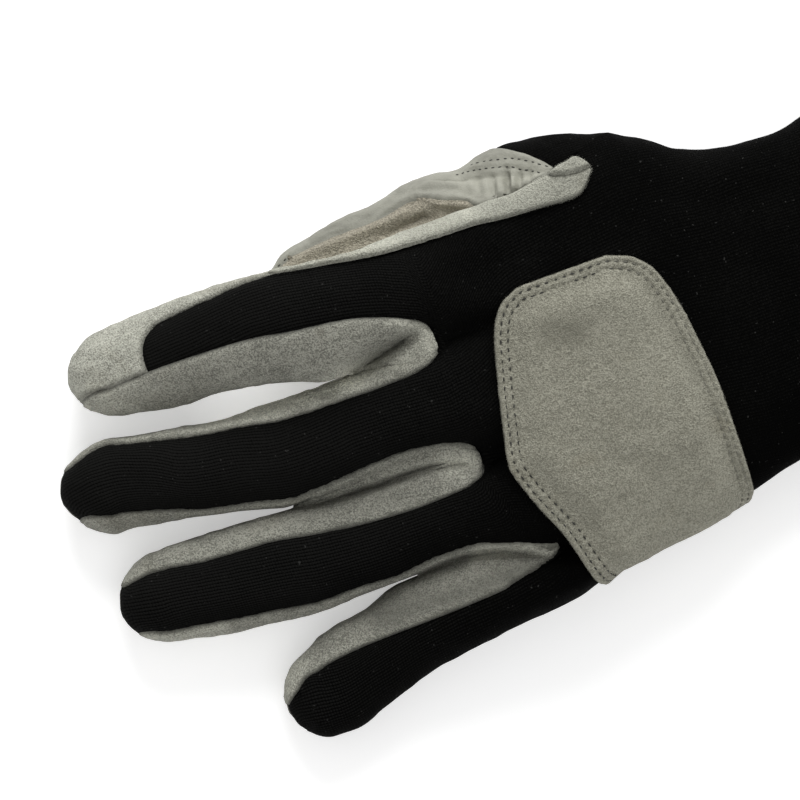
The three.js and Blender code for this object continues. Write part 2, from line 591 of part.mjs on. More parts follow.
// Thumb: from the hole in the side of the hand it bends to lie beside the index finger
function buildThumb(handRows) {
  const [start, end] = THUMB_HOLE_ROWS;
  const root = [];
  for (let row = start; row <= end; row += 1) root.push(handRows[row][LOW_END]);
  for (let column = LOW_END - 1; column >= THUMB_LOW_COLUMN; column -= 1) root.push(handRows[end][column]);
  for (let row = end - 1; row >= start; row -= 1) root.push(handRows[row][THUMB_LOW_COLUMN]);
  for (let column = THUMB_LOW_COLUMN + 1; column < LOW_END; column += 1) root.push(handRows[start][column]);
  const frontX = form.points[handRows[start][LOW_END]].x;
  const rows = [root];
  THUMB_SHARES.forEach((share) => {
    rows.push(root.map((id, column) => {
      const from = form.points[id];
      const x = mix(from.x, THUMB_JOIN, share);
      const point = from.clone().lerp(thumbPoint(x, column), ease(share));
      point.x = x;
      if (x < frontX + ROOT_FRONT) point.z = Math.min(point.z, thumbTable(x).height);
      return addPoint(point);
    }));
  });
  THUMB_STATIONS.forEach((x) => rows.push(root.map((_, column) => addPoint(thumbPoint(x, column)))));
  const count = root.length;
  for (let row = 0; row + 1 < rows.length; row += 1) {
    for (let column = 0; column < count; column += 1) {
      const next = (column + 1) % count;
      const ahead = rows[row + 1];
      addFace(thumbPiece(column), rows[row][column], rows[row][next], ahead[next], ahead[column]);
    }
  }
  const section = thumbSection(THUMB_TIP);
  const tip = addPoint(new THREE.Vector3(THUMB_TIP, section.centre, section.thumbMid));
  rows.at(-1).forEach((id, column, ring) => addFace(thumbPiece(column), id, ring[(column + 1) % count], tip));
}

// Closed solid between an outer and an inner layer that share their faces
function solidGeometry(outer, inner, faces) {
  const count = outer.length;
  const triangles = [];
  const edges = new Map();
  const split = (corners) => {
    if (corners.length === 3) return [corners];
    const [a, b, c, d] = corners;
    const isFirst = outer[a].distanceTo(outer[c]) <= outer[b].distanceTo(outer[d]);
    return isFirst ? [[a, b, c], [a, c, d]] : [[a, b, d], [b, c, d]];
  };
  faces.forEach((corners) => {
    split(corners).forEach(([a, b, c]) => triangles.push([a, b, c], [c + count, b + count, a + count]));
    corners.forEach((a, i) => {
      const b = corners[(i + 1) % corners.length];
      if (!edges.delete(`${b} ${a}`)) edges.set(`${a} ${b}`, [a, b]);
    });
  });
  edges.forEach(([a, b]) => triangles.push([b, a, a + count], [b, a + count, b + count]));
  const geometry = new THREE.BufferGeometry();
  const positions = [...outer, ...inner].flatMap((point) => point.toArray());
  geometry.setAttribute('position', new THREE.Float32BufferAttribute(positions, 3));
  geometry.setIndex(triangles.flat());
  return geometry;
}

function faceNormal(points, corners) {
  const normal = new THREE.Vector3();
  corners.forEach((corner, i) => {
    const a = points[corner];
    const b = points[corners[(i + 1) % corners.length]];
    normal.add(new THREE.Vector3().crossVectors(a, b));
  });
  return normal;
}

function pointNormals(points, faces) {
  const normals = points.map(() => new THREE.Vector3());
  faces.forEach((corners) => {
    const centre = points[corners[0]];
    const local = corners.map((corner) => points[corner].clone().sub(centre));
    const normal = faceNormal(local, corners.map((_, i) => i));
    corners.forEach((corner) => normals[corner].add(normal));
  });
  return normals.map((normal) => normal.normalize());
}

// One piece of the form: its faces drawn in from the seams and given the thickness of a wall
function formPiece(name, normals) {
  const places = new Map();
  const local = (id) => {
    if (!places.has(id)) places.set(id, places.size);
    return places.get(id);
  };
  const faces = form.faces.filter((face) => face.piece === name).map((face) => face.corners.map(local));
  const ids = [...places.keys()];
  const outer = ids.map((id) => form.points[id].clone());
  const edges = new Map();
  faces.forEach((corners) => corners.forEach((a, i) => {
    const b = corners[(i + 1) % corners.length];
    if (!edges.delete(`${b} ${a}`)) edges.set(`${a} ${b}`, [a, b]);
  }));
  const insets = outer.map(() => new THREE.Vector3());
  edges.forEach(([a, b]) => {
    const along = outer[b].clone().sub(outer[a]).normalize();
    [a, b].forEach((end) => insets[end].add(new THREE.Vector3().crossVectors(normals[ids[end]], along)));
  });
  insets.forEach((inset) => inset.normalize().multiplyScalar(SEAM_GAP * SEAM_SHARE));
  outer.forEach((point, i) => {
    point.add(insets[i]);
    point.z = Math.max(point.z, 0);
  });
  const inner = outer.map((point, i) => {
    return point.clone().addScaledVector(insets[i], SKIVE).addScaledVector(normals[ids[i]], -WALL);
  });
  return solidGeometry(outer, inner, faces);
}

// Sheet that lies on the form: a grid of points, its normals and its thickness at every point
function sheetGeometry(grid, lift, thickness) {
  const rows = grid.length;
  const columns = grid[0].length;
  const points = grid.flat();
  const faces = [];
  for (let row = 0; row + 1 < rows; row += 1) {
    for (let column = 0; column + 1 < columns; column += 1) {
      const corner = row * columns + column;
      const corners = [corner, corner + 1, corner + columns + 1, corner + columns];
      faces.push(corners.filter((id, i) => points[id].distanceTo(points[corners[(i + 1) % 4]]) > 1e-4));
    }
  }
  const normals = pointNormals(points, faces);
  const under = points.map((point, i) => point.clone().addScaledVector(normals[i], lift));
  const over = under.map((point, i) => point.clone().addScaledVector(
    normals[i], thickness(Math.floor(i / columns), i % columns),
  ));
  return solidGeometry(over, under, faces);
}

// Line across the glove at a station, from the palm's seam on the thumb side over the back
function acrossLine(x, last) {
  const points = [];
  for (let column = LOW_END - RING; column <= last; column += 1) {
    points.push(columnPoint(x, column < 0 ? column + RING : column));
  }
  return points;
}

// Point of the form on one of the hand's columns, between two of its rows
function columnPoint(x, column) {
  const at = (row) => form.points[handRows[row][column]];
  let row = 0;
  while (row + 2 < handRows.length && at(row + 1).x < x) row += 1;
  const share = (x - at(row).x) / (at(row + 1).x - at(row).x);
  return at(row).clone().lerp(at(row + 1), clamp(share));
}

function lengthsAlong(points) {
  const lengths = [0];
  points.slice(1).forEach((point, i) => lengths.push(lengths[i] + point.distanceTo(points[i])));
  return lengths;
}

function pointAlong(points, lengths, length) {
  const found = lengths.findIndex((end) => end >= length);
  const i = found < 0 ? points.length - 1 : Math.max(1, found);
  const share = (length - lengths[i - 1]) / (lengths[i] - lengths[i - 1]);
  return points[i - 1].clone().lerp(points[i], share);
}

// Length along a line over the back at which it has come down to a given Y
function lengthAtY(points, lengths, y) {
  for (let i = 1; i < points.length; i += 1) {
    if (points[i].y <= y && points[i - 1].y > y) {
      return mix(lengths[i - 1], lengths[i], (points[i - 1].y - y) / (points[i - 1].y - points[i].y));
    }
  }
  return lengths.at(-1);
}

// Line over the back that bridges its hollows, as stiff padded suede does, and then goes down the wall
function bridgeLine(x) {
  const line = acrossLine(x, LOW_START);
  const kept = [];
  line.slice(WALL_QUADS, WALL_QUADS + TOP_END + 1).forEach((point) => {
    const isUnder = () => {
      const [a, b] = kept.slice(-2);
      return (b.z - a.z) * (a.y - point.y) < (point.z - a.z) * (a.y - b.y);
    };
    while (kept.length > 1 && isUnder()) kept.pop();
    kept.push(point);
  });
  return { line: [...kept, ...line.slice(WALL_QUADS + TOP_END + 1)], edge: kept.length - 1 };
}

function patchGeometry() {
  const grid = PATCH_DEPTHS.map((depth) => PATCH_SHARES.map((share) => {
    const edges = patchTable(share);
    const x = mix(edges.front, edges.back, depth);
    const { line, edge } = bridgeLine(x);
    const lengths = lengthsAlong(line);
    const from = lengthAtY(line, lengths, PATCH_THUMB_Y);
    const to = lengths[edge] + PATCH_WRAP;
    return pointAlong(line, lengths, mix(from, to, share));
  }));
  const thickness = (row, column) => {
    const share = PATCH_SHARES[column];
    const depth = PATCH_DEPTHS[row];
    const edges = patchTable(share);
    const inX = Math.min(depth, 1 - depth) * (edges.back - edges.front);
    const inY = Math.min(share, 1 - share) * PATCH_WIDTH;
    return PATCH_LEATHER + PATCH_PAD * ease((Math.min(inX, inY) - PATCH_BORDER) / PATCH_RISE);
  };
  return sheetGeometry(grid, PATCH_GAP, thickness);
}

function stripGeometry() {
  const first = STRIP_EDGES[0][0];
  const last = STRIP_EDGES.at(-1)[0];
  const grid = [];
  for (let row = 0; row <= STRIP_ROWS; row += 1) {
    const x = mix(first, last, row / STRIP_ROWS);
    const { innerEdge, drop } = stripTable(x);
    const line = stripLine(x);
    const lengths = lengthsAlong(line);
    const to = lengthAtY(line, lengths, innerEdge);
    const from = lengths[WALL_QUADS] - drop;
    const points = [];
    for (let quad = 0; quad <= STRIP_QUADS; quad += 1) {
      points.push(pointAlong(line, lengths, mix(from, to, quad / STRIP_QUADS)));
    }
    grid.push(points);
  }
  return sheetGeometry(grid, LAP_GAP, () => STRIP_THICKNESS);
}

// Line from the wall of the index finger, or of the hand behind it, over the knit
function stripLine(x) {
  if (x >= FINGERS.index.thumbEnd) return acrossLine(x, TOP_QUADS);
  const points = [];
  for (let column = FINGER_RING - WALL_QUADS; column <= FINGER_RING + TOP_QUADS; column += 1) {
    points.push(fingerPoint(0, x, column > FINGER_RING ? column - FINGER_RING : column));
  }
  return points;
}

function tabGeometry() {
  const { end, radius, length, y, thickness } = TAB;
  const stations = [];
  for (let row = 0; row <= TAB_ROUND_ROWS; row += 1) {
    const angle = ((row + TAB_FIRST_ROW) / (TAB_ROUND_ROWS + TAB_FIRST_ROW)) * (Math.PI / 2);
    stations.push({ x: end + radius * (1 - Math.cos(angle)), half: radius * Math.sin(angle) });
  }
  for (let row = 1; row <= TAB_ROWS; row += 1) {
    stations.push({ x: mix(end + radius, end + length, row / TAB_ROWS), half: radius });
  }
  const grid = stations.map(({ x, half }) => {
    const line = acrossLine(x, TOP_END);
    const lengths = lengthsAlong(line);
    const centre = lengthAtY(line, lengths, y);
    const points = [];
    for (let quad = 0; quad <= TAB_QUADS; quad += 1) {
      points.push(pointAlong(line, lengths, centre - half + (2 * half * quad) / TAB_QUADS));
    }
    return points;
  });
  return sheetGeometry(grid, LAP_GAP, () => thickness);
}

const rings = FINGER_ORDER.map((_, index) => buildFinger(index));
[0, 1, 2].forEach((index) => buildCrotch(index, rings));
const handRows = buildHand(rings);
buildThumb(handRows);
const formNormals = pointNormals(form.points, form.faces.map((face) => face.corners));

const FORM_PIECES = {
  back_panel: 'knit',
  palm: 'suede',
  fourchette_index_middle: 'suede',
  fourchette_middle_ring: 'suede',
  fourchette_ring_little: 'suede',
  index_side: 'suede',
  thumb_outer: 'leather',
  thumb_inner: 'pinkSuede',
  cuff: 'knit',
  cuff_binding: 'knit',
};

const glove = new THREE.Group();
glove.position.copy(FRAME_SHIFT);

function addMesh(name, geometry, colour) {
  const mesh = new THREE.Mesh(geometry, new THREE.MeshStandardMaterial(COLOURS[colour]));
  mesh.name = name;
  glove.add(mesh);
}

Object.entries(FORM_PIECES).forEach(([name, colour]) => addMesh(name, formPiece(name, formNormals), colour));
addMesh('knuckle_patch', patchGeometry(), 'suede');
addMesh('side_strip', stripGeometry(), 'suede');
addMesh('wrist_tab', tabGeometry(), 'suede');

export default glove;
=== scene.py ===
"""A racing glove for the left hand, lying palm down: knit back, suede palm, leather thumb and cuff.

Sizes in the tables are in millimetres in the maker's frame: X from the fingertips to the cuff, Y to
the thumb side, Z up from the table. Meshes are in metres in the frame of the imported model.
"""

import logging
import math
from collections.abc import Callable
from dataclasses import dataclass, field
from enum import Enum
from functools import cache, partial
from typing import ClassVar

import bmesh
import bpy
import numpy as np
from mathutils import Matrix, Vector
from mathutils.bvhtree import BVHTree
from mathutils.kdtree import KDTree

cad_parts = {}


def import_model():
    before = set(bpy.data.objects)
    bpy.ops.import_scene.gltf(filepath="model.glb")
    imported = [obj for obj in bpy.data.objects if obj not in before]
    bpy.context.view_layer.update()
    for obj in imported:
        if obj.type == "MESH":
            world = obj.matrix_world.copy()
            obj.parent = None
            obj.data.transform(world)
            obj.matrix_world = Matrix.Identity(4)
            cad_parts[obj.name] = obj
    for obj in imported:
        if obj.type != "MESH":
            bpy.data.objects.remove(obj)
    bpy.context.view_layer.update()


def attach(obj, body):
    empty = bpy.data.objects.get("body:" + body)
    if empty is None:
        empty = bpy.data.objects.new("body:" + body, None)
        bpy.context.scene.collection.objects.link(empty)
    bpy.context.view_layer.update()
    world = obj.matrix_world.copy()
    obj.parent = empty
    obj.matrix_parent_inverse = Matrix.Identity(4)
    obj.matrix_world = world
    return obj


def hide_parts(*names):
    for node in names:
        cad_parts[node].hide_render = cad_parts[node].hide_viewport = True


LOG = logging.getLogger("glove")

Array = np.ndarray
MM = 0.001
FRAME_SHIFT = np.array([-136.4, 4.0, 0.0])     # from the maker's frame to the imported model's
PHOTO_CENTRE = np.array([90.1, 7.7, 12.0])     # the point under the camera, in the maker's frame
PHOTO_TURN = math.radians(-20.0)               # turn of the glove in the picture
PHOTO_SIDE = 0.208                             # metres across the picture at the glove

WALL = 1.3
TOP_ROUND = 2.3
BOTTOM_ROUND = 4.0
BOTTOM_FLATTEN = 1.05
BOTTOM_SEAM = 0.84
TIP_ROUND = 2.2
NOSE_ROUND = 2.0
MIDDLE_SHARE = 0.48
TOP_QUADS = 4
WALL_QUADS = 3
FINGER_ROWS = [0, 0.02, 0.055, 0.11, 0.19, 0.275, 0.39, 0.51, 0.62, 0.72, 0.81, 0.89, 0.95, 1]
TIP_LENGTH = 14.0
NOSE_LENGTH = 11.0
TIP_BULGES = [0, 2.2, 3.6, 4.6, 5, 6, 4, 2, 0, 0, 0, 0, 0, 0]
TIP_START = 1.2
TIP_LEAST = 0.6
CAP_ROWS = 5
TIP_SPREADS = [(0.52, -0.52), (0.52, -0.52), (0.52, -0.52), (-0.2, -0.62)]
LITTLE_WRAP = 2.2                              # how far the knit reaches round the little finger's side
CROTCH_SCOOPS = np.array([26.0, 54.0, 38.0])   # how far the wall at each gap's end bulges forward
CROTCH_ROUND = 1.2
CAP_SHIFTS = [0, 0.3, 0.9, 2.0, 4.0, 6.2, 4.6, 2.4, 0.8, 0, 0, 0, 0, 0]
CAP_CURVE = 2.6
BLEND_LENGTH = 26.0
WEB_BLEND = (105.0, 80.0)

FINGER_COLUMNS = ("x", "thumb_edge", "thumb_seam", "little_seam", "little_edge", "bottom", "top", "tilt")
FINGERS = {
    "index": (10.5, 104.0, 105.0, [
        (10.5, 50.5, 47.0, 36.0, 29.8, 0, 18.5, 0),
        (20, 51.3, 47.6, 36.2, 28.6, 0, 19.5, 0),
        (35, 52.2, 48.0, 36.8, 26.0, 0.6, 21.5, 0),
        (50, 52.0, 49.3, 36.3, 24.9, 7.5, 28.0, 0),
        (60, 51.4, 50.2, 35.5, 23.0, 12.6, 33.0, 0),
        (70, 50.6, 49.8, 33.7, 20.4, 16.4, 36.8, 0),
        (76, 49.6, 48.8, 33.0, 19.0, 16.4, 38.0, 0),
        (84, 48.2, 47.4, 31.8, 19.8, 16.4, 39.2, 0),
        (94, 46.9, 45.9, 28.6, 20.7, 16.4, 40.0, 0),
        (101, 46.1, 44.8, 24.9, 20.7, 16.4, 40.3, 0),
        (103.4, 46.0, 44.8, 23.2, 20.6, 16.4, 40.4, 0),
        (105, 46.0, 44.7, 21.0, 20.4, 16.4, 40.4, 0),
    ]),
    "middle": (-1.0, 105.0, 106.5, [
        (-1, 24.0, 22.0, 7.0, 2.0, 0, 19.0, 0),
        (13, 24.6, 23.3, 4.3, 0.2, 0, 20.0, 0),
        (22, 22.8, 21.3, 1.6, -1.4, 0, 20.8, 0),
        (32, 20.8, 18.5, -2.0, -3.5, 0, 21.6, 0),
        (45, 19.1, 16.6, -4.6, -6.1, 0, 23.2, 0),
        (58, 18.4, 13.9, -6.9, -8.9, 0.4, 25.6, 0.8),
        (70, 18.0, 13.0, -6.5, -9.4, 1.8, 28.4, 3),
        (76, 18.3, 12.9, -5.8, -9.4, 2.6, 29.8, 4.4),
        (84, 19.1, 12.6, -5.6, -9.5, 3.6, 32.0, 6.2),
        (94, 19.9, 12.9, -6.6, -9.9, 4.5, 34.4, 8.2),
        (101, 19.8, 14.2, -8.8, -11.2, 4.9, 35.8, 9),
        (104.2, 19.6, 16.2, -10.6, -12.2, 5.0, 36.1, 9.3),
        (106.5, 19.4, 18.6, -12.9, -13.5, 5.0, 36.4, 9.5),
    ]),
    "ring": (3.5, 106.5, 116.0, [
        (3.5, -9.4, -12.6, -26.4, -29.4, 0, 18.0, 0),
        (15, -8.0, -12.4, -29.0, -32.0, 0, 19.0, 0),
        (30, -7.7, -14.3, -30.9, -34.5, 0, 20.0, 0),
        (45, -8.3, -15.2, -33.5, -36.5, 0, 21.4, 0),
        (58, -9.8, -17.4, -34.8, -37.1, 0, 22.8, 0),
        (75, -10.2, -19.5, -34.6, -36.5, 0, 25.4, 0),
        (86, -10.3, -20.0, -34.0, -36.0, 0, 27.6, 0),
        (96, -10.9, -19.5, -34.8, -37.0, 0, 29.6, 0),
        (102, -12.6, -18.4, -36.6, -38.4, 0, 30.8, 0),
        (105.4, -14.0, -16.6, -37.9, -39.2, 0, 31.4, 0),
        (107, -14.4, -15.1, -38.4, -39.7, 0, 31.6, 0),
        (112, -14.6, -15.3, -40.3, -41.1, 0, 32.0, 0),
        (116, -14.6, -15.3, -41.6, -42.2, 0, 32.4, 0),
    ]),
    "little": (35.0, 116.0, 117.0, [
        (35, -50.2, -58.4, -64.5, -67.2, 0, 15.5, 0),
        (38.5, -48.3, -54.6, -66.3, -68.1, 0, 16.0, 0),
        (42, -46.6, -52.2, -67.4, -68.8, 0, 16.4, 0),
        (50, -43.0, -50.0, -68.2, -68.8, 0, 17.2, 0),
        (60, -40.7, -49.0, -65.3, -65.9, 0, 18.4, 0),
        (72, -38.0, -48.7, -61.3, -61.9, 0, 20.2, 0),
        (85, -36.8, -48.4, -59.0, -59.6, 0, 22.6, 0),
        (96, -37.8, -47.8, -57.7, -58.3, 0, 24.4, 0),
        (106, -40.4, -46.4, -56.8, -57.4, 0, 25.9, 0),
        (112, -41.9, -45.4, -56.2, -56.8, 0, 26.7, 0),
        (117, -43.0, -43.6, -55.6, -56.2, 0, 27.2, 0),
        (130, -43.0, -43.6, -50.6, -51.2, 0, 27.4, 0),
    ]),
}
FINGER_TIPS, THUMB_ENDS, LITTLE_ENDS = np.array([finger[:3] for finger in FINGERS.values()]).T

HAND_COLUMNS = ("x", "thumb_edge", "thumb_seam", "thumb_mid", "thumb_crown",
                "little_crown", "little_mid", "little_edge", "lift")
HAND_SECTIONS = [
    (104, 46.0, 44.7, 28.0, 39.6, 27.0, 10.5, -57.4, 16.4),
    (117, 46.1, 44.6, 27.0, 40.0, 28.4, 11.0, -55.4, 15.6),
    (124, 46.6, 44.9, 25.4, 39.8, 28.8, 11.1, -52.9, 13.4),
    (134, 49.4, 45.8, 21.8, 39.0, 29.4, 11.4, -50.7, 9.0),
    (150, 61.0, 48.2, 12.5, 36.0, 29.8, 11.6, -48.9, 0),
    (160, 58.9, 48.0, 11.6, 33.8, 29.6, 11.6, -47.2, 0),
    (170, 52.4, 44.6, 11.4, 31.6, 28.8, 11.5, -45.4, 0),
    (180, 44.6, 38.6, 11.4, 29.4, 27.8, 11.5, -43.0, 0),
    (192, 40.8, 36.0, 11.6, 27.4, 26.8, 11.6, -41.0, 0),
    (205, 39.6, 35.0, 12.0, 27.0, 27.0, 12.0, -41.4, 0),
    (214, 41.8, 37.0, 12.4, 27.8, 27.8, 12.4, -43.2, 0),
    (226, 45.6, 40.5, 13.4, 29.6, 29.6, 13.4, -46.4, 0),
    (245, 50.6, 45.0, 15.0, 32.0, 32.0, 15.0, -51.0, 0),
    (274, 55.0, 49.0, 16.6, 34.2, 34.2, 16.6, -55.0, 0),
]
LIFT_FROM_Y = -8.0
LIFT_TO_Y = 27.0
ROW_PLANE = 150.0
HAND_SHARES = [0, 1 / 6, 2 / 6, 3 / 6, 4 / 6, 5 / 6, 1]
HAND_STATIONS = [160, 170, 180, 191, 202, 214, 226]
CUFF_STATIONS = [240, 254, 267]
MOUTH_STATION = 274
SHEAR_DECAY = [1, 0.45, 0.15, 0]

THUMB_HOLE_ROWS = (1, 6)
THUMB_COLUMNS = ("x", "thumb_edge", "little_edge", "height", "mid")
THUMB_SECTIONS = [
    (66.0, 51.4, 35.0, 11.0, 6.0),
    (76, 54.6, 33.0, 14.6, 7.2),
    (90, 57.2, 32.2, 15.6, 7.8),
    (100, 57.9, 32.2, 15.8, 8.0),
    (108, 59.3, 32.4, 15.9, 8.0),
    (118, 60.1, 33.4, 17.5, 8.6),
    (128, 60.2, 36.0, 20.5, 10.0),
]
THUMB_TIP = 65.6
THUMB_TIP_LENGTH = 12.0
THUMB_JOIN = 108.0
THUMB_ANGLES = [80, 66, 52, 39, 29, 19, -4, -40, -75, -92, -108, -124, -142, -165, -200, -240]
THUMB_TURN = 18.0
THUMB_TOP_SEAM = 5 / 3
THUMB_LOW_SEAM = 13
ROOT_FRONT = 0.5

WEB_STEP = TOP_QUADS + 1
TOP_END = 4 * WEB_STEP - 1
LOW_START = TOP_END + WALL_QUADS
LOW_END = LOW_START + TOP_END
RING = LOW_END + WALL_QUADS
THUMB_LOW_COLUMN = LOW_END - 3
RING_PLACES = np.cumsum([0, TOP_QUADS, WALL_QUADS, TOP_QUADS, WALL_QUADS])     # a finger's four seams
FINGER_RING = RING_PLACES[-1]
HAND_ROUND = 2.8
HAND_BOTTOM_SEAM = 0.95
LITTLE_SEAM = 0.995
FINGER_WIDTHS = np.array([26.5, 31.5, 26.6, 12.5])
WEB_WIDTHS = (2.2, 6.0)

SIDE_FIRST = 37                                # the ring column at which the thumb side begins
SIDE_COLUMNS = ("x", "k43", "k42", "k41", "k40", "k39", "k38", "k37")
SIDE_SHARES = [
    (112, 0.333, 0.667, 1, 1.058, 1.116, 1.175, 1.234),
    (137, 0.03, 0.06, 0.09, 0.56, 1, 1.09, 1.18),
    (150, 0.015, 0.03, 0.045, 0.5, 1, 1.09, 1.18),
    (170, 0.2, 0.4, 0.6, 0.8, 1, 1.08, 1.16),
]
SIDE_SHEAR = {44: -1, 43: -1.5, 42: -2, 41: -2, 40: -14, 39: -16, 38: -10, 37: -6, 36: -4}

PATCH_COLUMNS = ("share", "front", "back")
PATCH_EDGES = [
    (0, 128, 152),
    (0.03, 122.5, 158),
    (0.09, 118.8, 162.5),
    (0.21, 115.6, 165.6),
    (0.37, 112.2, 167.4),
    (0.47, 110.6, 168.2),
    (0.55, 112.4, 168.5),
    (0.72, 118.0, 168.4),
    (0.87, 121.0, 168.0),
    (1, 124.0, 165.0),
]
STRIP_COLUMNS = ("x", "inner_edge", "outer_edge")
STRIP_EDGES = [
    (69.5, 49.2, 51.0),
    (72, 48.7, 51.0),
    (76, 47.9, 50.1),
    (80, 47.1, 49.3),
    (86, 46.1, 48.4),
    (93, 44.8, 47.8),
    (101, 43.8, 47.8),
    (110, 43.3, 48.4),
    (116, 43.1, 48.7),
    (123, 43.0, 47.9),
    (128, 42.4, 48.2),
    (134, 41.9, 47.9),
    (141, 41.6, 48.7),
    (145, 41.3, 49.2),
    (149, 41.1, 50.7),
    (152, 41.7, 51.8),
    (154, 43.6, 50.8),
    (155.4, 45.2, 49.0),
    (156.2, 46.0, 47.4),
]
STRIP_FOLD = ((143.0, 49.2), (144.4, 48.7), (146.8, 47.6), (149.8, 46.8), (152.5, 46.5), (156.5, 46.7))

THUMB_ROWS = (
    ((128.4, 58.6), (130.4, 58.5), (133.4, 57.9), (135.0, 57.4), (136.8, 57.0), (138.2, 56.6), (140.1, 55.6),
     (141.0, 55.0), (142.4, 54.1), (143.6, 53.3), (144.9, 52.1), (146.1, 51.3)),
    ((124.0, 57.5), (127.2, 57.2), (128.9, 56.9), (130.6, 56.5), (132.6, 56.0), (134.3, 55.5), (135.7, 55.2),
     (138.3, 54.0), (139.7, 52.8), (140.9, 52.2), (142.3, 51.4), (143.6, 50.5)),
)
THUMB_TIP_ROW = ((74.4, 52.2), (70.7, 50.6))   # two single stitches close the thumb's seam

FINE_ZONES = (
    ((80.0, 15.0, 12.0), (104.0, 26.0, 42.0), 1),
    ((56.0, -15.0, 8.0), (104.0, -6.5, 40.0), 1),
    ((78.0, -48.5, 8.0), (119.0, -34.0, 34.0), 1),
    ((98.0, -48.0, 8.0), (118.0, -40.5, 34.0), 1),
    ((106.0, 46.5, 5.0), (150.0, 64.0, 32.0), 2),
    ((66.0, 44.0, 2.0), (106.0, 56.5, 17.0), 1),
)

TABLE_EDGE = ((100.0, 126.0), (-90.0, -90.0))
# The suede between the ring and the little finger ends in a point between these two lines.
LAST_GAP_LOW = ((98.0, 101.0, 105.5, 109.0, 112.6, 115.5, 116.5),
                (-47.9, -46.8, -45.6, -44.9, -44.1, -43.1, -42.4))
LAST_GAP_TOP = ((104.0, 116.5), (-41.0, -42.3))
PINK_END = ((111.0, 113.3, 119.7, 123.8, 126.0), (54.3, 54.0, 51.1, 48.5, 46.5))   # the pink suede's wrist end

# Spots of painted light and painted shade along lines seen from above, each with its reach and strength: darker where
# negative, lighter where positive.
PAINTED_SHADING_SPOTS = (
    (((132.5, 11.0), (138.0, 9.5)), 4.2, -0.4),
    (((128.0, 14.0), (146.0, 6.0)), 9.0, -0.15),
    (((148.0, -28.0), (156.0, -34.0)), 6.0, -0.15),
    (((160.5, 14.0), (163.2, -6.0), (165.6, -23.0), (166.2, -40.0)), 1.7, -0.3),
    (((125.0, 54.5), (131.0, 53.0), (142.0, 51.5)), 4.5, 0.24),
    (((70.0, 50.0), (84.0, 48.5), (100.0, 47.0)), 3.2, 0.24),
    (((104.0, 46.6), (122.0, 46.2)), 3.6, 0.14),
    (((92.0, 51.8), (104.0, 52.3), (116.0, 51.6)), 2.2, 0.08),
    (((118.0, 51.0), (123.0, 48.6)), 2.0, 0.25),
    (((22.0, 23.6), (36.0, 20.6)), 3.0, 0.22),
    (((42.0, 19.6), (58.0, 17.2), (70.0, 16.4), (80.0, 16.8)), 3.2, 0.9),
    (((12.0, 33.0), (22.0, 31.0)), 4.5, 0.36),
    (((97.0, 27.5), (102.0, 24.5), (103.5, 19.0)), 3.0, 0.6),
    (((82.0, 17.0), (94.0, 17.2), (101.0, 17.8)), 2.6, 0.5),
    (((8.0, -27.0), (26.0, -32.0)), 2.6, 0.3),
    (((96.0, -36.6), (106.0, -38.5), (114.0, -42.0)), 2.4, 0.6),
    (((36.5, -53.0), (40.0, -48.0)), 4.0, 0.4),
    (((96.0, -12.0), (104.0, -13.0)), 3.4, 0.6),
    (((66.0, -43.5), (90.0, -45.0), (106.0, -44.6)), 3.6, -0.65),
    (((54.0, -14.8), (87.0, -17.0)), 3.2, -0.25),
)
class Piece(Enum):
    """The pieces that share the glove's form, by the names of the nodes they stand for."""

    BACK = "back_panel"
    PALM = "palm"
    INDEX_MIDDLE = "fourchette_index_middle"
    MIDDLE_RING = "fourchette_middle_ring"
    RING_LITTLE = "fourchette_ring_little"
    INDEX_SIDE = "index_side"
    THUMB_OUTER = "thumb_outer"
    THUMB_INNER = "thumb_inner"
    CUFF = "cuff"
    BINDING = "cuff_binding"
    HOLE = "hole"


FOURCHETTES = (Piece.INDEX_MIDDLE, Piece.MIDDLE_RING, Piece.RING_LITTLE)


def mix(a: Array | float, b: Array | float, t: Array | float) -> Array | float:
    """Returns the value a share t of the way from a to b."""
    return a + (b - a) * t


def clamp(t: Array | float, low: float = 0.0, high: float = 1.0) -> Array | float:
    """Returns t held between low and high."""
    return np.minimum(high, np.maximum(low, t))


def ease(t: Array | float) -> Array | float:
    """Returns the smooth step of t from 0 to 1."""
    t = clamp(t)
    return t * t * (3 - 2 * t)


def bell(distance: Array, width: float) -> Array:
    """Returns a bump that is 1 at no distance and fades over the width."""
    return np.exp(-(np.asarray(distance) / width) ** 2)


def rounded_end(distance: Array, length: float, power: float) -> Array:
    """Returns the rise of a rounded end: 0 at the very tip, 1 from its length on."""
    return (1 - (1 - clamp(distance / length)) ** power) ** (1 / power)


def unit(vectors: Array) -> Array:
    """Returns vectors with the length 1."""
    return vectors / np.maximum(np.linalg.norm(vectors, axis=-1, keepdims=True), 1e-9)


def lengths_along(line: Array) -> Array:
    """Returns the length along a line of points up to each of them."""
    return np.concatenate([[0], np.cumsum(np.linalg.norm(np.diff(line, axis=0), axis=1))])


def points_along(line: Array, lengths: Array, places: Array) -> Array:
    """Returns the points of a line at places given as lengths along it."""
    return np.stack([np.interp(places, lengths, values) for values in line.T], axis=1)


def nearest_distance(places: Array, targets: Array) -> Array:
    """Returns the distance of each place from the nearest of some targets.

    Args:
        places: Places, flat ones with a height of 0.
        targets: Targets of the same kind.

    Returns:
        Distances.
    """
    tree = KDTree(len(targets))
    for number, target in enumerate(targets):
        tree.insert(target, number)
    tree.balance()
    return np.array([tree.find(place)[2] for place in places])


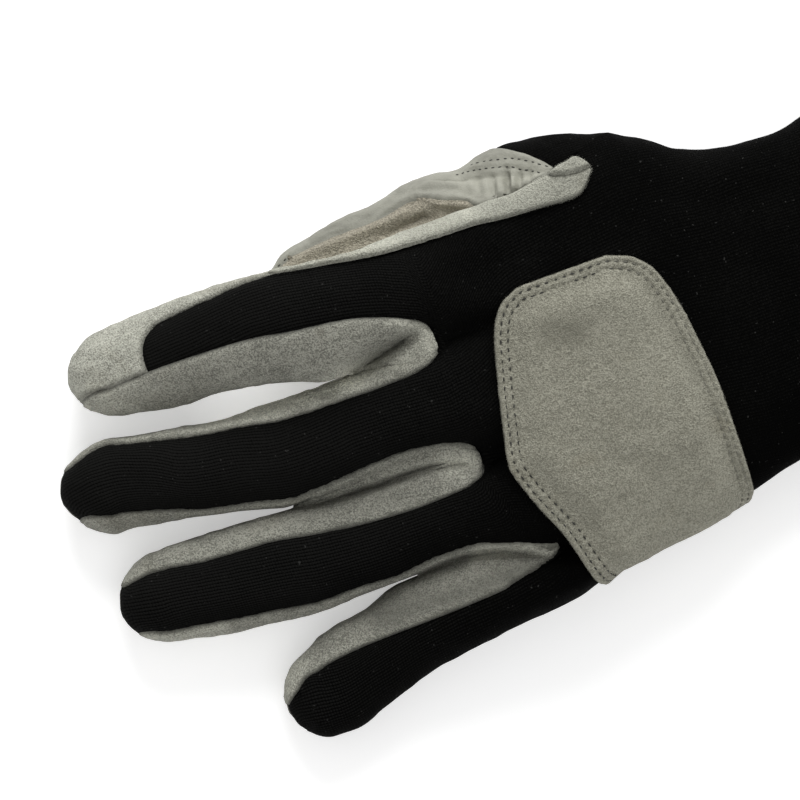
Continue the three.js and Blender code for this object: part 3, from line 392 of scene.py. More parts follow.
@dataclass
class Curve:
    """A smooth curve through points that never overshoots them."""

    xs: Array
    values: Array
    tangents: Array = field(init=False)

    def __post_init__(self) -> None:
        """Works out the slope at each point."""
        self.xs, self.values = np.asarray(self.xs, float), np.asarray(self.values, float)
        slopes = np.diff(self.values) / np.diff(self.xs)
        inner = np.zeros(len(slopes) - 1)
        same = slopes[:-1] * slopes[1:] > 0
        inner[same] = 2 / (1 / slopes[:-1][same] + 1 / slopes[1:][same])
        self.tangents = np.concatenate([slopes[:1], inner, slopes[-1:]])

    def __call__(self, x: Array | float) -> Array:
        """Returns the curve's value at x.

        Args:
            x: One station or an array of them.

        Returns:
            The values, held at both ends of the curve.
        """
        x = clamp(np.asarray(x, float), self.xs[0], self.xs[-1])
        i = np.clip(np.searchsorted(self.xs, x, side="right") - 1, 0, len(self.xs) - 2)
        step = self.xs[i + 1] - self.xs[i]
        t = (x - self.xs[i]) / step
        rise = self.values[i] * (1 + 2 * t) * (1 - t) ** 2 + self.values[i + 1] * t * t * (3 - 2 * t)
        return rise + step * t * (1 - t) * (self.tangents[i] * (1 - t) - self.tangents[i + 1] * t)


class Table:
    """A table whose named columns are smooth curves over its first column."""

    def __init__(self, names: tuple[str, ...], rows: list[tuple[float, ...]]) -> None:
        """Builds a curve for each column.

        Args:
            names: The columns' names, the station first.
            rows: The table's rows.
        """
        columns = np.array(rows, float).T
        self.curves = {name: Curve(columns[0], column) for name, column in zip(names[1:], columns[1:])}

    def at(self, x: Array | float) -> dict[str, Array]:
        """Returns every column's value at x, by name."""
        return {name: curve(x) for name, curve in self.curves.items()}


def between_edges(row: dict[str, Array]) -> tuple[Array, Array]:
    """Returns the middle and half the width between the two edges in a table's row."""
    return (row["thumb_edge"] + row["little_edge"]) / 2, (row["thumb_edge"] - row["little_edge"]) / 2


def angle_at(across: Array, roundness: float, top: bool) -> Array:
    """Returns the angle at which a section crosses a share of its half width."""
    angle = np.arcsin(clamp(np.abs(across)) ** (roundness / 2)) * np.sign(across)
    return angle if top else np.sign(across) * np.pi - angle


@dataclass
class Section:
    """Cross-section of the form at some stations: middles and crowns on the little and the thumb side."""

    centre: Array
    half: Array
    middles: tuple[Array, Array]
    crowns: tuple[Array, Array]
    top_round: float = TOP_ROUND
    rise: Array | float = 1.0
    bottom: Array | float = 0.0
    slope: Array | float = 0.0
    lift: Array | float = 0.0

    def point(self, x: Array, angle: Array) -> Array:
        """Returns points of the section.

        Args:
            x: Stations.
            angle: 0 over the top, a quarter turn at the thumb edge, a half turn underneath.

        Returns:
            An array of points in millimetres.
        """
        sine, cosine = np.sin(angle), np.cos(angle)
        top = cosine >= 0
        power = np.where(top, 2 / self.top_round, 2 / BOTTOM_ROUND)
        across = np.sign(sine) * np.abs(sine) ** power
        height = np.abs(cosine) ** power * self.rise
        share = (across + 1) / 2
        y = self.centre + across * self.half
        middle, crown = mix(*self.middles, share), mix(*self.crowns, share)
        lifted = self.lift * ease((y - LIFT_FROM_Y) / (LIFT_TO_Y - LIFT_FROM_Y))
        under = self.bottom + self.slope * (y - self.centre) + lifted
        low = middle - (middle - under) * np.minimum(1, height * BOTTOM_FLATTEN)
        return np.stack([x + 0 * y, y, np.where(top, middle + (crown - middle) * height, low)], axis=-1)


def ring_place(column: Array) -> tuple[Array, Array]:
    """Returns the place of a finger's ring column.

    Args:
        column: Places in a finger's ring.

    Returns:
        The share from the thumb side to the little side, and the share of the way along a wall.
    """
    column = np.mod(column, FINGER_RING)
    wall = np.zeros(np.shape(column))
    for start, end in (RING_PLACES[1:3], RING_PLACES[3:]):
        wall = np.where((column > start) & (column <= end), (column - start) / WALL_QUADS, wall)
    return np.interp(column, RING_PLACES, [0, 1, 1, 0, 0]), wall


class GloveForm:
    """The glove's one smooth form, as functions of stations x and of places column in a ring.

    The points that its methods return are in millimetres in the maker's frame.
    """

    def __init__(self) -> None:
        """Reads the tables."""
        self.fingers = [Table(FINGER_COLUMNS, finger[3]) for finger in FINGERS.values()]
        self.hand = Table(HAND_COLUMNS, HAND_SECTIONS)
        self.side = Table(SIDE_COLUMNS, SIDE_SHARES)
        self.thumb = Table(THUMB_COLUMNS, THUMB_SECTIONS)
        self.bulge = Curve(FINGER_ROWS, TIP_BULGES)
        self.cap_shift = Curve(FINGER_ROWS, CAP_SHIFTS)

    def finger_point(self, index: int, x: Array, column: Array) -> Array:
        """Returns points of one finger.

        Args:
            index: The finger, 0 for the index finger.
            x: Stations.
            column: Places in the finger's ring, the same shape as x.

        Returns:
            An array of points.
        """
        row = self.fingers[index].at(x)
        beyond = x - FINGER_TIPS[index]
        centre, half = between_edges(row)
        middle, tilt = mix(row["bottom"], row["top"], MIDDLE_SHARE), row["tilt"] / 2
        section = Section(centre, half * rounded_end(beyond, TIP_LENGTH, TIP_ROUND), (middle - tilt, middle + tilt),
                          (row["top"], row["top"]), rise=rounded_end(beyond, NOSE_LENGTH, NOSE_ROUND),
                          bottom=row["bottom"], slope=tilt / half)
        first = angle_at((row["thumb_seam"] - centre) / half, TOP_ROUND, True)
        corners = [first, angle_at((row["little_seam"] - centre) / half, TOP_ROUND, True),
                   angle_at(-BOTTOM_SEAM + 0 * x, BOTTOM_ROUND, False),
                   angle_at(BOTTOM_SEAM + 0 * x, BOTTOM_ROUND, False) - 2 * np.pi, first - 2 * np.pi]
        angle = first
        for start, end, low, high in zip(RING_PLACES, RING_PLACES[1:], corners, corners[1:]):
            angle = np.where(column >= start, mix(low, high, (column - start) / (end - start)), angle)
        return section.point(x, angle)

    def finger_end(self, index: Array, column: Array) -> Array:
        """Returns the station at which a finger's column reaches the hand.

        Args:
            index: Fingers, one for each column.
            column: Places in the fingers' rings.

        Returns:
            The stations.
        """
        side, wall = ring_place(column)
        crotch = ((side == 1) & (index < 3)) | ((side == 0) & (index > 0))
        scoop = CROTCH_SCOOPS[np.clip(index - (side == 0), 0, 2)]
        bulge = np.maximum(np.sin(np.pi * wall), 0) ** CROTCH_ROUND
        return mix(THUMB_ENDS[index], LITTLE_ENDS[index], side) - crotch * scoop * bulge

    def hand_to_finger(self, column: Array) -> tuple[Array, Array, Array, Array, Array]:
        """Returns the finger columns that a ring column of the hand carries on.

        Args:
            column: Places in the hand's ring.

        Returns:
            Two fingers, their two columns, and the share of the second.
        """
        top = column <= TOP_END
        local = np.where(top, column, column - LOW_START)
        block = np.clip(np.floor(local / WEB_STEP), 0, 3).astype(int)
        place = local - block * WEB_STEP
        first = np.where(top, block, 3 - block)
        second = np.clip(np.where(top, first + 1, first - 1), 0, 3)
        offset = np.where(top, 0, RING_PLACES[2])
        share = np.where(place > TOP_QUADS, place - TOP_QUADS, 0.0)
        thumb_wall = column > LOW_END
        wall = thumb_wall | ((column > TOP_END) & (column < LOW_START))
        first = np.where(wall, np.where(thumb_wall, 0, 3), first)
        beside = np.where(thumb_wall, column - LOW_END + RING_PLACES[3], column - TOP_END + TOP_QUADS)
        return (first, np.where(wall, first, second), np.where(wall, beside, offset + np.minimum(place, TOP_QUADS)),
                np.where(wall, beside, offset + 0 * place), np.where(wall, 0.0, share))

    def hand_start(self, column: Array) -> Array:
        """Returns the station at which the hand begins on a ring column."""
        first, second, a, b, share = self.hand_to_finger(column)
        return mix(self.finger_end(first, a), self.finger_end(second, b), share)

    def carried(self, x: Array, column: Array) -> Array:
        """Returns the points that the fingers' forms would have in the hand.

        Args:
            x: Stations.
            column: Places in the hand's ring.

        Returns:
            An array of points.
        """
        first, second, a, b, share = self.hand_to_finger(column)
        result = np.zeros(x.shape + (3,))
        for finger, where, at in ((first, 1 - share, a), (second, share, b)):
            for index in range(4):
                mask = (finger == index) & (where > 0)
                if mask.any():
                    result[mask] += self.finger_point(index, x[mask], at[mask]) * where[mask][:, None]
        return result

    def block_share(self, local: Array, web: Array) -> Array:
        """Returns the share of the hand's width at a place over the fingers' blocks.

        Args:
            local: Places counted over the back, 0 on the thumb side.
            web: Widths of the webs between the blocks.

        Returns:
            Shares from 0 to 1.
        """
        block = np.clip(np.floor(local / WEB_STEP), 0, 3).astype(int)
        place = local - block * WEB_STEP
        sums = np.concatenate([[0], np.cumsum(FINGER_WIDTHS)])
        inside = np.minimum(1, place / TOP_QUADS) * FINGER_WIDTHS[block] + np.maximum(0, place - TOP_QUADS) * web
        return (sums[block] + block * web + inside) / (sums[-1] + 3 * web)

    def side_share(self, x: Array, column: Array) -> Array:
        """Returns the place of a thumb-side column between the knit's seam and the palm's.

        Args:
            x: Stations.
            column: Places in the hand's ring, from the underside to the end of the thumb wall.

        Returns:
            Shares: 0 at the knit's seam, 1 at the palm's, more under the palm.
        """
        row = self.side.at(x)
        values = np.stack([row[f"k{k}"] for k in range(SIDE_FIRST, RING)] + [0 * x])
        place = np.clip(column, SIDE_FIRST, RING) - SIDE_FIRST
        low = np.minimum(np.floor(place).astype(int), len(values) - 2)
        below, above = (np.take_along_axis(values, low[None] + k, 0)[0] for k in range(2))
        return mix(below, above, place - low)

    def hand_angle(self, row: dict[str, Array], x: Array, column: Array) -> Array:
        """Returns the angle of a ring column in the hand's section.

        Args:
            row: The hand's table at the stations.
            x: Stations.
            column: Places in the hand's ring.

        Returns:
            Angles, as Section.point takes them.
        """
        centre, half = between_edges(row)
        web = mix(*WEB_WIDTHS, ease((x - WEB_BLEND[0]) / WEB_BLEND[1]))
        thumb_seam, little_seam = (row["thumb_seam"] - centre) / half, -LITTLE_SEAM + 0 * x
        over = angle_at(mix(thumb_seam, little_seam, self.block_share(column, web)), HAND_ROUND, True)
        little_wall = mix(angle_at(little_seam, HAND_ROUND, True),
                          angle_at(-HAND_BOTTOM_SEAM + 0 * x, BOTTOM_ROUND, False), (column - TOP_END) / WALL_QUADS)
        index_low = LOW_END - TOP_QUADS
        first = self.block_share(np.full_like(x, TOP_QUADS), web)
        rest = (self.block_share(LOW_END - column, web) - first) / (1 - first)
        at_index = self.side_share(x, np.full_like(x, index_low))
        share = np.where(column >= index_low, self.side_share(x, column), mix(at_index, 2, rest))
        across = mix(HAND_BOTTOM_SEAM, -HAND_BOTTOM_SEAM, share - 1)
        under = angle_at(across, BOTTOM_ROUND, False)
        under = np.where(across > 0, under - 2 * np.pi, under)
        top = angle_at(thumb_seam, HAND_ROUND, True) - 2 * np.pi
        low = angle_at(HAND_BOTTOM_SEAM + 0 * x, BOTTOM_ROUND, False) - 2 * np.pi
        thumb_wall = np.where(share >= 1, under, mix(top, low, share))
        return np.where(column <= TOP_END, over, np.where(column < LOW_START, little_wall, thumb_wall))

    def hand_point(self, x: Array, column: Array) -> Array:
        """Returns points of the hand, wrist and cuff.

        Args:
            x: Stations.
            column: Places in the hand's ring, the same shape as x.

        Returns:
            An array of points.
        """
        row = self.hand.at(x)
        section = Section(*between_edges(row), (row["little_mid"], row["thumb_mid"]),
                          (row["little_crown"], row["thumb_crown"]), HAND_ROUND, lift=row["lift"])
        weight = ease((x - self.hand_start(column)) / BLEND_LENGTH)[..., None]
        return mix(self.carried(x, column), section.point(x, self.hand_angle(row, x, column)), weight)

    def hand_grid(self, row: Array, column: Array) -> Array:
        """Returns points of the hand at places in its grid, its rows slanting behind the thumb's root.

        Args:
            row: Rows, which may lie between two of the form's rows.
            column: Places in the hand's ring.

        Returns:
            An array of points.
        """
        column = np.mod(column, RING)
        stations = [ROW_PLANE, *HAND_STATIONS, *CUFF_STATIONS, MOUTH_STATION]
        last = len(HAND_SHARES) - 1
        share = np.interp(row, np.arange(len(HAND_SHARES)), HAND_SHARES)
        near = mix(self.hand_start(column), ROW_PLANE, share)
        far = np.interp(row - last, np.arange(len(stations)), stations)
        point = self.hand_point(np.where(row <= last, near, far), column)
        ring, hole_end = np.arange(RING + 1), THUMB_HOLE_ROWS[1]
        reach = np.interp(np.where(column == 0, RING, column), ring, [SIDE_SHEAR.get(k, 0) for k in ring])
        behind = np.interp(row - hole_end, np.arange(len(SHEAR_DECAY)), SHEAR_DECAY)
        point[..., 0] += reach * np.where(row <= hole_end, (row / hole_end) ** 3, behind)
        return point

    def finger_grid(self, index: int, row: Array, column: Array) -> Array:
        """Returns points of a finger at places in its grid.

        Args:
            index: The finger.
            row: Rows from the seam round its front to the hand.
            column: Places in its ring.

        Returns:
            An array of points.
        """
        tip, table = FINGER_TIPS[index], self.fingers[index]
        side = ring_place(column)[0]
        share = np.interp(np.maximum(row, 1), np.arange(len(FINGER_ROWS)), FINGER_ROWS)
        if index == 0:
            bulge = self.cap_shift(share) * (1 - (1 - side) ** CAP_CURVE)
        else:
            bulge = self.bulge(share) * (1 - (2 * side - 1) ** 2)
        end = self.finger_end(np.full(column.shape, index), column)
        x = np.maximum(tip + TIP_LEAST, mix(tip + TIP_START, end, share) - bulge)
        point = self.finger_point(index, x, column)
        near, half = table.at(tip), between_edges(table.at(tip + TIP_LENGTH))[1]
        across = mix(*TIP_SPREADS[index], side)
        set_back = TIP_LENGTH * (1 - (1 - np.abs(across) ** TIP_ROUND) ** (1 / TIP_ROUND))
        front = np.stack([tip + set_back, between_edges(near)[0] + across * half,
                          mix(near["bottom"], near["top"], MIDDLE_SHARE) + 0 * across], axis=-1)
        s = clamp(row)[..., None]
        power = (2 - (2 * side - 1) ** 2)[..., None]
        return np.where(row[..., None] < 1, mix(front, point, np.concatenate([s ** power, s, s], axis=-1)), point)

    def thumb_point(self, x: Array, ring: Array) -> Array:
        """Returns points of the thumb where it is a plain tube.

        Args:
            x: Stations.
            ring: Places round the thumb, counted as the points of its root.

        Returns:
            An array of points.
        """
        count = len(THUMB_ANGLES)
        degrees = np.interp(np.mod(ring, count), np.arange(count + 1), THUMB_ANGLES + [THUMB_ANGLES[0] - 360])
        turn = THUMB_TURN * clamp((THUMB_JOIN - x) / (THUMB_JOIN - THUMB_TIP))
        row = self.thumb.at(x)
        centre, half = between_edges(row)
        section = Section(centre, half * rounded_end(x - THUMB_TIP, THUMB_TIP_LENGTH, TIP_ROUND),
                          (row["mid"], row["mid"]), (row["height"], row["height"]),
                          rise=rounded_end(x - THUMB_TIP, NOSE_LENGTH, NOSE_ROUND))
        return section.point(x, np.radians(90 - degrees + turn))

    def thumb_grid(self, along: Array, ring: Array) -> Array:
        """Returns points of the thumb.

        Args:
            along: 0 at the root, 1 where the thumb is a plain tube, 2 at its tip.
            ring: Places round the thumb.

        Returns:
            An array of points.
        """
        start, end = THUMB_HOLE_ROWS
        places = np.cumsum([0, end - start, LOW_END - THUMB_LOW_COLUMN, end - start, LOW_END - THUMB_LOW_COLUMN])
        around = np.mod(ring, places[-1])
        root = self.hand_grid(
            np.interp(around, places, [start, end, end, start, start]),
            np.interp(around, places, [LOW_END, LOW_END, THUMB_LOW_COLUMN, THUMB_LOW_COLUMN, LOW_END]))
        front = self.hand_grid(np.array([1.0]), np.array([float(LOW_END)]))[0, 0]
        share = clamp(along)
        x = mix(root[..., 0], THUMB_JOIN, share)
        point = mix(root, self.thumb_point(x, ring), ease(share)[..., None])
        point[..., 0] = x
        low = (x < front + ROOT_FRONT) & (along > 0)
        point[..., 2] = np.where(low, np.minimum(point[..., 2], self.thumb.at(x)["height"]), point[..., 2])
        tube_x = mix(THUMB_JOIN, THUMB_TIP, np.sin(clamp(along - 1) * np.pi / 2))
        return np.where(along[..., None] <= 1, point, self.thumb_point(tube_x, ring))


@dataclass
class Cloth:
    """A welded mesh in millimetres in the maker's frame, with the piece of each face."""

    points: Array
    faces: list[tuple[int, ...]]
    labels: Array
    uvs: list[list[tuple[float, float]]]
    normals: Array = field(init=False)
    outward: Array = field(init=False)
    seam: Array = field(init=False)

    def __post_init__(self) -> None:
        """Works out the normals and the distance of each point from a seam."""
        self.update_normals()
        self.outward = self.normals
        ends = sorted({end for edge in self.seam_edges() for end in edge})
        self.seam = nearest_distance(self.points, self.points[ends])

    def update_normals(self) -> None:
        """Works out area-weighted normals at the points."""
        normals = np.zeros_like(self.points)
        for size in (3, 4):
            chosen = np.array([face for face in self.faces if len(face) == size])
            corner = self.points[chosen]
            area = np.cross(corner[:, 2] - corner[:, 0], corner[:, -1] - corner[:, 1])
            for k in range(size):
                np.add.at(normals, chosen[:, k], area)
        self.normals = unit(normals)

    def seam_edges(self) -> dict[tuple[int, int], set[int]]:
        """Returns the edges that lie between two pieces, or at an open edge, with their pieces."""
        owners: dict[tuple[int, int], list[int]] = {}
        for face, label in zip(self.faces, self.labels):
            for a, b in zip(face, face[1:] + face[:1]):
                owners.setdefault((min(a, b), max(a, b)), []).append(int(label))
        return {edge: set(found) for edge, found in owners.items() if len(set(found)) > 1 or len(found) == 1}


class FormBuilder:
    """Builds the whole form as one welded mesh from its fingers, hand, cuff and thumb."""

    TOP_STEPS = 26
    WALL_STEPS = 16
    UNDER_STEPS = 13
    WEB_STEPS = 4           # also across each gap's end
    FRONT_STEPS = 4
    CROWDING = 0.72
    HAND_ROW_STEPS = 6
    CUFF_ROW_STEPS = 8
    ROW_SPACING = 1.1
    EXTRA_ROWS = (2.5, 2.5625, 2.625, 2.7083, 2.75, 2.8125)
    THUMB_ROOT_STEPS = 33
    THUMB_TUBE_STEPS = 39
    THUMB_CROWDING = 0.9
    CUT_COLUMN = 32         # where the hand's pattern is cut open
    MIDDLE_COLUMN = 9.5     # where it is centred
    NUDGE = 1e-6            # moves a quad's first corner clear of its border
    WELD = 0.03
    THIN = 0.02
    BACK_ONLY = 8.0         # the lowest height at which a cut leaves the grid

    def __init__(self, form: GloveForm) -> None:
        """Starts with no points.

        Args:
            form: The glove's form.
        """
        self.form = form
        self.grids: list[tuple[Array, Array, Array, Array]] = []
        self.count = 0
        self.numbers = {piece: number for number, piece in enumerate(Piece)} | {Piece.HOLE: -1}
        self.columns = [self.finger_columns(index) for index in range(len(FINGERS))]

    def add_grid(self, points: Array, labels: Array, uv: Array | None = None) -> None:
        """Adds a grid of points as quads.

        Args:
            points: Rows and columns of points.
            labels: The piece of each quad, with -1 where there is none.
            uv: Pattern coordinates at the grid's points.
        """
        rows, columns = points.shape[:2]
        ids = self.count + np.arange(rows * columns).reshape(rows, columns)
        uv = np.zeros((rows, columns, 2)) if uv is None else uv
        quads, corners = (np.stack([grid[:-1, :-1], grid[:-1, 1:], grid[1:, 1:], grid[1:, :-1]], axis=2)
                          for grid in (ids, uv))
        keep = labels >= 0
        self.grids.append((points.reshape(-1, 3), quads[keep], labels[keep], corners[keep]))
        self.count += rows * columns

    def crowd(self, start: float, end: float, steps: int) -> Array:
        """Returns places from start up to but not including end, closer together near both."""
        t = np.arange(steps) / steps
        return start + (end - start) * (t - self.CROWDING * np.sin(2 * np.pi * t) / (2 * np.pi))

    def finger_columns(self, index: int) -> Array:
        """Returns the places of a finger's columns, closest together at its seams.

        Args:
            index: The finger.

        Returns:
            Places.
        """
        _, top, under, wall, _ = RING_PLACES
        lower = [self.crowd(under, wall, self.UNDER_STEPS)]
        if index == 0:
            beside = under + RING - WALL_QUADS - LOW_END + 1
            lower = [self.crowd(under, beside, 4), self.crowd(beside, wall, self.UNDER_STEPS - 1)]
        return np.concatenate([
            self.crowd(0, top, self.TOP_STEPS), self.crowd(top, under, self.WALL_STEPS), *lower,
            self.crowd(wall, FINGER_RING, self.WALL_STEPS), [FINGER_RING],
        ])

    def hand_columns(self) -> Array:
        """Returns the places of the hand's columns, which carry on the fingers'."""
        _, top, under, wall, end = RING_PLACES
        webs = top + np.arange(self.WEB_STEPS) / self.WEB_STEPS
        parts = []

        def carry_on(index: int, start: float, low: int, high: int) -> None:
            """Adds the columns of a finger from low up to high, the first of them at start."""
            columns = self.columns[index]
            parts.append(start + columns[(columns >= low) & (columns < high)] - low)

        for index in range(4):
            carry_on(index, index * WEB_STEP, 0, top)
            if index < 3:
                parts.append(index * WEB_STEP + webs)
        carry_on(3, TOP_END, top, under)
        for index in (3, 2, 1, 0):
            start = LOW_START + (3 - index) * WEB_STEP
            carry_on(index, start, under, wall)
            if index:
                parts.append(start + webs)
        carry_on(0, LOW_END, wall, end + 1)
        return np.round(np.concatenate(parts), 9)

    def hand_rows(self) -> Array:
        """Returns the places of the hand's rows."""
        last_share = len(HAND_SHARES) - 1
        last = last_share + len(HAND_STATIONS) + len(CUFF_STATIONS) + 1
        near = np.arange(last_share * self.HAND_ROW_STEPS) / self.HAND_ROW_STEPS
        far = np.arange((last - last_share) * self.CUFF_ROW_STEPS + 1) / self.CUFF_ROW_STEPS
        return np.round(np.unique(np.concatenate([near, self.EXTRA_ROWS, last_share + far])), 9)

    @staticmethod
    def pattern(points: Array, columns: Array, middle: float, cut: float) -> Array:
        """Returns how far across the pattern each point of a ring of cloth lies.

        Args:
            points: Rows and columns of points.
            columns: Places of the columns.
            middle: The place at which the pattern is centred.
            cut: The place beyond which it has been cut open.

        Returns:
            Millimetres across.
        """
        steps = np.linalg.norm(np.diff(points, axis=1), axis=2)
        arcs = np.concatenate([np.zeros((len(points), 1)), np.cumsum(steps, axis=1)], axis=1)
        centre = np.array([np.interp(middle, columns, row) for row in arcs])
        return arcs - (centre[:, None] + np.where(columns[None, :] > cut, arcs[:, -1:], 0))

    @staticmethod
    def finger_piece(index: int, column: float, row: float) -> Piece:
        """Returns the piece that a quad of a finger belongs to.

        Args:
            index: The finger.
            column: The quad's place round the finger.
            row: Its place along it.

        Returns:
            The piece.
        """
        if column < RING_PLACES[1]:
            return Piece.INDEX_SIDE if index == 0 and row < CAP_ROWS else Piece.BACK
        if column < RING_PLACES[2]:
            wrapped = index == 3 and column < TOP_QUADS + LITTLE_WRAP
            return Piece.BACK if wrapped else FOURCHETTES[index] if index < 3 else Piece.PALM
        if column < RING_PLACES[3]:
            return Piece.PALM
        return FOURCHETTES[index - 1] if index > 0 else Piece.INDEX_SIDE

    @staticmethod
    def hand_piece(column: float, row: float) -> Piece:
        """Returns the piece that a quad of the hand belongs to.

        Args:
            column: The quad's place round the hand.
            row: Its place along it.

        Returns:
            The piece.
        """
        cuff_row = len(HAND_SHARES) + len(HAND_STATIONS) - 1
        if row >= cuff_row:
            return Piece.CUFF if row < cuff_row + len(CUFF_STATIONS) else Piece.BINDING
        if column < TOP_END + LITTLE_WRAP:
            return Piece.BACK
        if column >= LOW_END:
            return Piece.INDEX_SIDE if row < THUMB_HOLE_ROWS[1] else Piece.BACK
        if column < THUMB_LOW_COLUMN or row < THUMB_HOLE_ROWS[0]:
            return Piece.PALM
        return Piece.HOLE if row < THUMB_HOLE_ROWS[1] else Piece.BACK

    @staticmethod
    def thumb_piece(ring: float, *_: float) -> Piece:
        """Returns the half of the thumb that a quad belongs to, which is the same all along it."""
        return Piece.THUMB_OUTER if THUMB_TOP_SEAM <= ring < THUMB_LOW_SEAM else Piece.THUMB_INNER

    def tube(self, rows: Array, columns: Array, place: Callable, piece: Callable) -> tuple[Array, Array]:
        """Returns the points of a tube that closes on itself and the pieces of its quads.

        Args:
            rows: Places along it.
            columns: Places round it.
            place: Gives the points at rows and columns.
            piece: Gives the piece at a column and a row.

        Returns:
            A grid of points and one of pieces' numbers.
        """
        points = place(*np.meshgrid(rows, columns, indexing="ij"))
        points[:, -1] = points[:, 0]
        labels = [[self.numbers[piece(column + self.NUDGE, row + self.NUDGE)] for column in columns[:-1]]
                  for row in rows[:-1]]
        return points, np.array(labels)

    def build_finger(self, index: int) -> None:
        """Adds one finger, with its front sewn shut.

        Args:
            index: The finger.
        """
        length = THUMB_ENDS[index] - FINGER_TIPS[index]
        rows = [np.linspace(0, 1, self.FRONT_STEPS + 1)[:-1]]
        for row in range(1, len(FINGER_ROWS) - 1):
            steps = max(2, math.ceil((FINGER_ROWS[row + 1] - FINGER_ROWS[row]) * length / self.ROW_SPACING))
            rows.append(row + np.arange(steps) / steps)
        columns = self.columns[index]
        points, labels = self.tube(np.concatenate([*rows, [len(FINGER_ROWS) - 1]]), columns,
                                   partial(self.form.finger_grid, index), partial(self.finger_piece, index))
        above = columns <= TOP_QUADS
        under = np.flatnonzero((columns >= RING_PLACES[2]) & (columns <= RING_PLACES[3]))
        points[0, above] = points[0, np.round(np.linspace(under[-1], under[0], above.sum())).astype(int)]
        u = self.pattern(points, columns, TOP_QUADS / 2, TOP_QUADS + WALL_QUADS * 1.5) + self.finger_u[index]
        self.add_grid(points, labels, np.stack([u, points[..., 0]], axis=-1))

    def build_crotch(self, index: int) -> None:
        """Adds the wall at the end of the gap between two fingers.

        Args:
            index: The finger on the thumb side of the gap.
        """
        share = np.append(self.crowd(0, WALL_QUADS, self.WALL_STEPS), WALL_QUADS)
        last = np.full(len(share), float(len(FINGER_ROWS) - 1))
        near = self.form.finger_grid(index, last, TOP_QUADS + share)
        far = self.form.finger_grid(index + 1, last, np.mod(FINGER_RING - share, FINGER_RING))
        across = np.linspace(0, 1, self.WEB_STEPS + 1)[None, :, None]
        labels = np.full((self.WALL_STEPS, self.WEB_STEPS), self.numbers[FOURCHETTES[index]])
        self.add_grid(mix(far[:, None], near[:, None], across), labels)

    def build_hand(self) -> None:
        """Adds the hand, the wrist and the cuff."""
        columns = self.hand_columns()
        points, labels = self.tube(self.hand_rows(), columns, self.form.hand_grid, self.hand_piece)
        u = self.pattern(points, columns, self.MIDDLE_COLUMN, self.CUT_COLUMN)
        self.finger_u = [float(np.interp(WEB_STEP * i + TOP_QUADS / 2, columns, u[0])) for i in range(4)]
        self.add_grid(points, labels, np.stack([u, points[..., 0]], axis=-1))

    def build_thumb(self) -> None:
        """Adds the thumb from the hole in the side of the hand to its tip."""
        start, end = THUMB_HOLE_ROWS
        hole, width = end - start, LOW_END - THUMB_LOW_COLUMN
        rows, columns = self.hand_rows(), self.hand_columns()
        rows = rows[(rows >= start) & (rows <= end)]
        columns = columns[(columns >= THUMB_LOW_COLUMN) & (columns <= LOW_END)]
        rings = np.unique(np.round(np.concatenate([
            rows - start, hole + LOW_END - columns, hole + width + end - rows,
            2 * hole + width + columns - THUMB_LOW_COLUMN,
        ]), 9))
        along = np.concatenate([np.linspace(0, 1, self.THUMB_ROOT_STEPS + 1)[:-1],
                                1 + np.linspace(0, 1, self.THUMB_TUBE_STEPS + 1) ** self.THUMB_CROWDING])
        self.add_grid(*self.tube(along, rings, self.form.thumb_grid, self.thumb_piece))

    @staticmethod
    def refine(work: bmesh.types.BMesh) -> None:
        """Divides the faces more finely where the folds are small.

        Args:
            work: The whole form, which is changed in place.
        """
        for low, high, cuts in FINE_ZONES:
            chosen = [face for face in work.faces
                      if all(a < c < b for a, c, b in zip(Vector(low), face.calc_center_median(), Vector(high)))]
            edges = list({edge for face in chosen for edge in face.edges})
            bmesh.ops.subdivide_edges(work, edges=edges, cuts=cuts, use_grid_fill=True)
        bmesh.ops.triangulate(work, faces=[face for face in work.faces if len(face.verts) > 4])

    def final_piece(self, face: bmesh.types.BMFace) -> int:
        """Returns a face's piece, after the cuts that don't follow the grid.

        Args:
            face: The face.

        Returns:
            The piece's number.
        """
        x, y, z = face.calc_center_median()
        for old, new, low, high in ((Piece.THUMB_OUTER, Piece.THUMB_INNER, TABLE_EDGE, PINK_END),
                                    (Piece.RING_LITTLE, Piece.BACK, TABLE_EDGE, LAST_GAP_LOW),
                                    (Piece.BACK, Piece.RING_LITTLE, LAST_GAP_LOW, LAST_GAP_TOP)):
            beside = high[0][0] < x < high[0][-1] and z > self.BACK_ONLY
            if beside and np.interp(x, *low) < y < np.interp(x, *high) and face.material_index == self.numbers[old]:
                return self.numbers[new]
        return face.material_index

    def build(self) -> Cloth:
        """Builds everything and welds it.

        Returns:
            The welded form.
        """
        self.build_hand()
        for index in range(4):
            self.build_finger(index)
        for index in range(3):
            self.build_crotch(index)
        self.build_thumb()
        points, quads, labels, uvs = (np.concatenate(parts) for parts in zip(*self.grids))
        mesh = bpy.data.meshes.new("form")
        mesh.from_pydata(points.tolist(), [], quads.tolist())
        mesh.polygons.foreach_set("material_index", labels.astype(np.int32))
        mesh.uv_layers.new(name="pattern").uv.foreach_set("vector", uvs.reshape(-1).astype(np.float32))
        work = bmesh.new()
        work.from_mesh(mesh)
        bmesh.ops.remove_doubles(work, verts=work.verts, dist=self.WELD)
        bmesh.ops.dissolve_degenerate(work, edges=work.edges, dist=self.THIN)
        self.refine(work)
        bmesh.ops.delete(work, geom=[vert for vert in work.verts if not vert.link_faces], context="VERTS")
        work.verts.index_update()
        uv = work.loops.layers.uv.active
        cloth = Cloth(np.array([vert.co for vert in work.verts]),
                      [tuple(vert.index for vert in face.verts) for face in work.faces],
                      np.array([self.final_piece(face) for face in work.faces]),
                      [[tuple(loop[uv].uv) for loop in face.loops] for face in work.faces])
        work.free()
        bpy.data.meshes.remove(mesh)
        return cloth


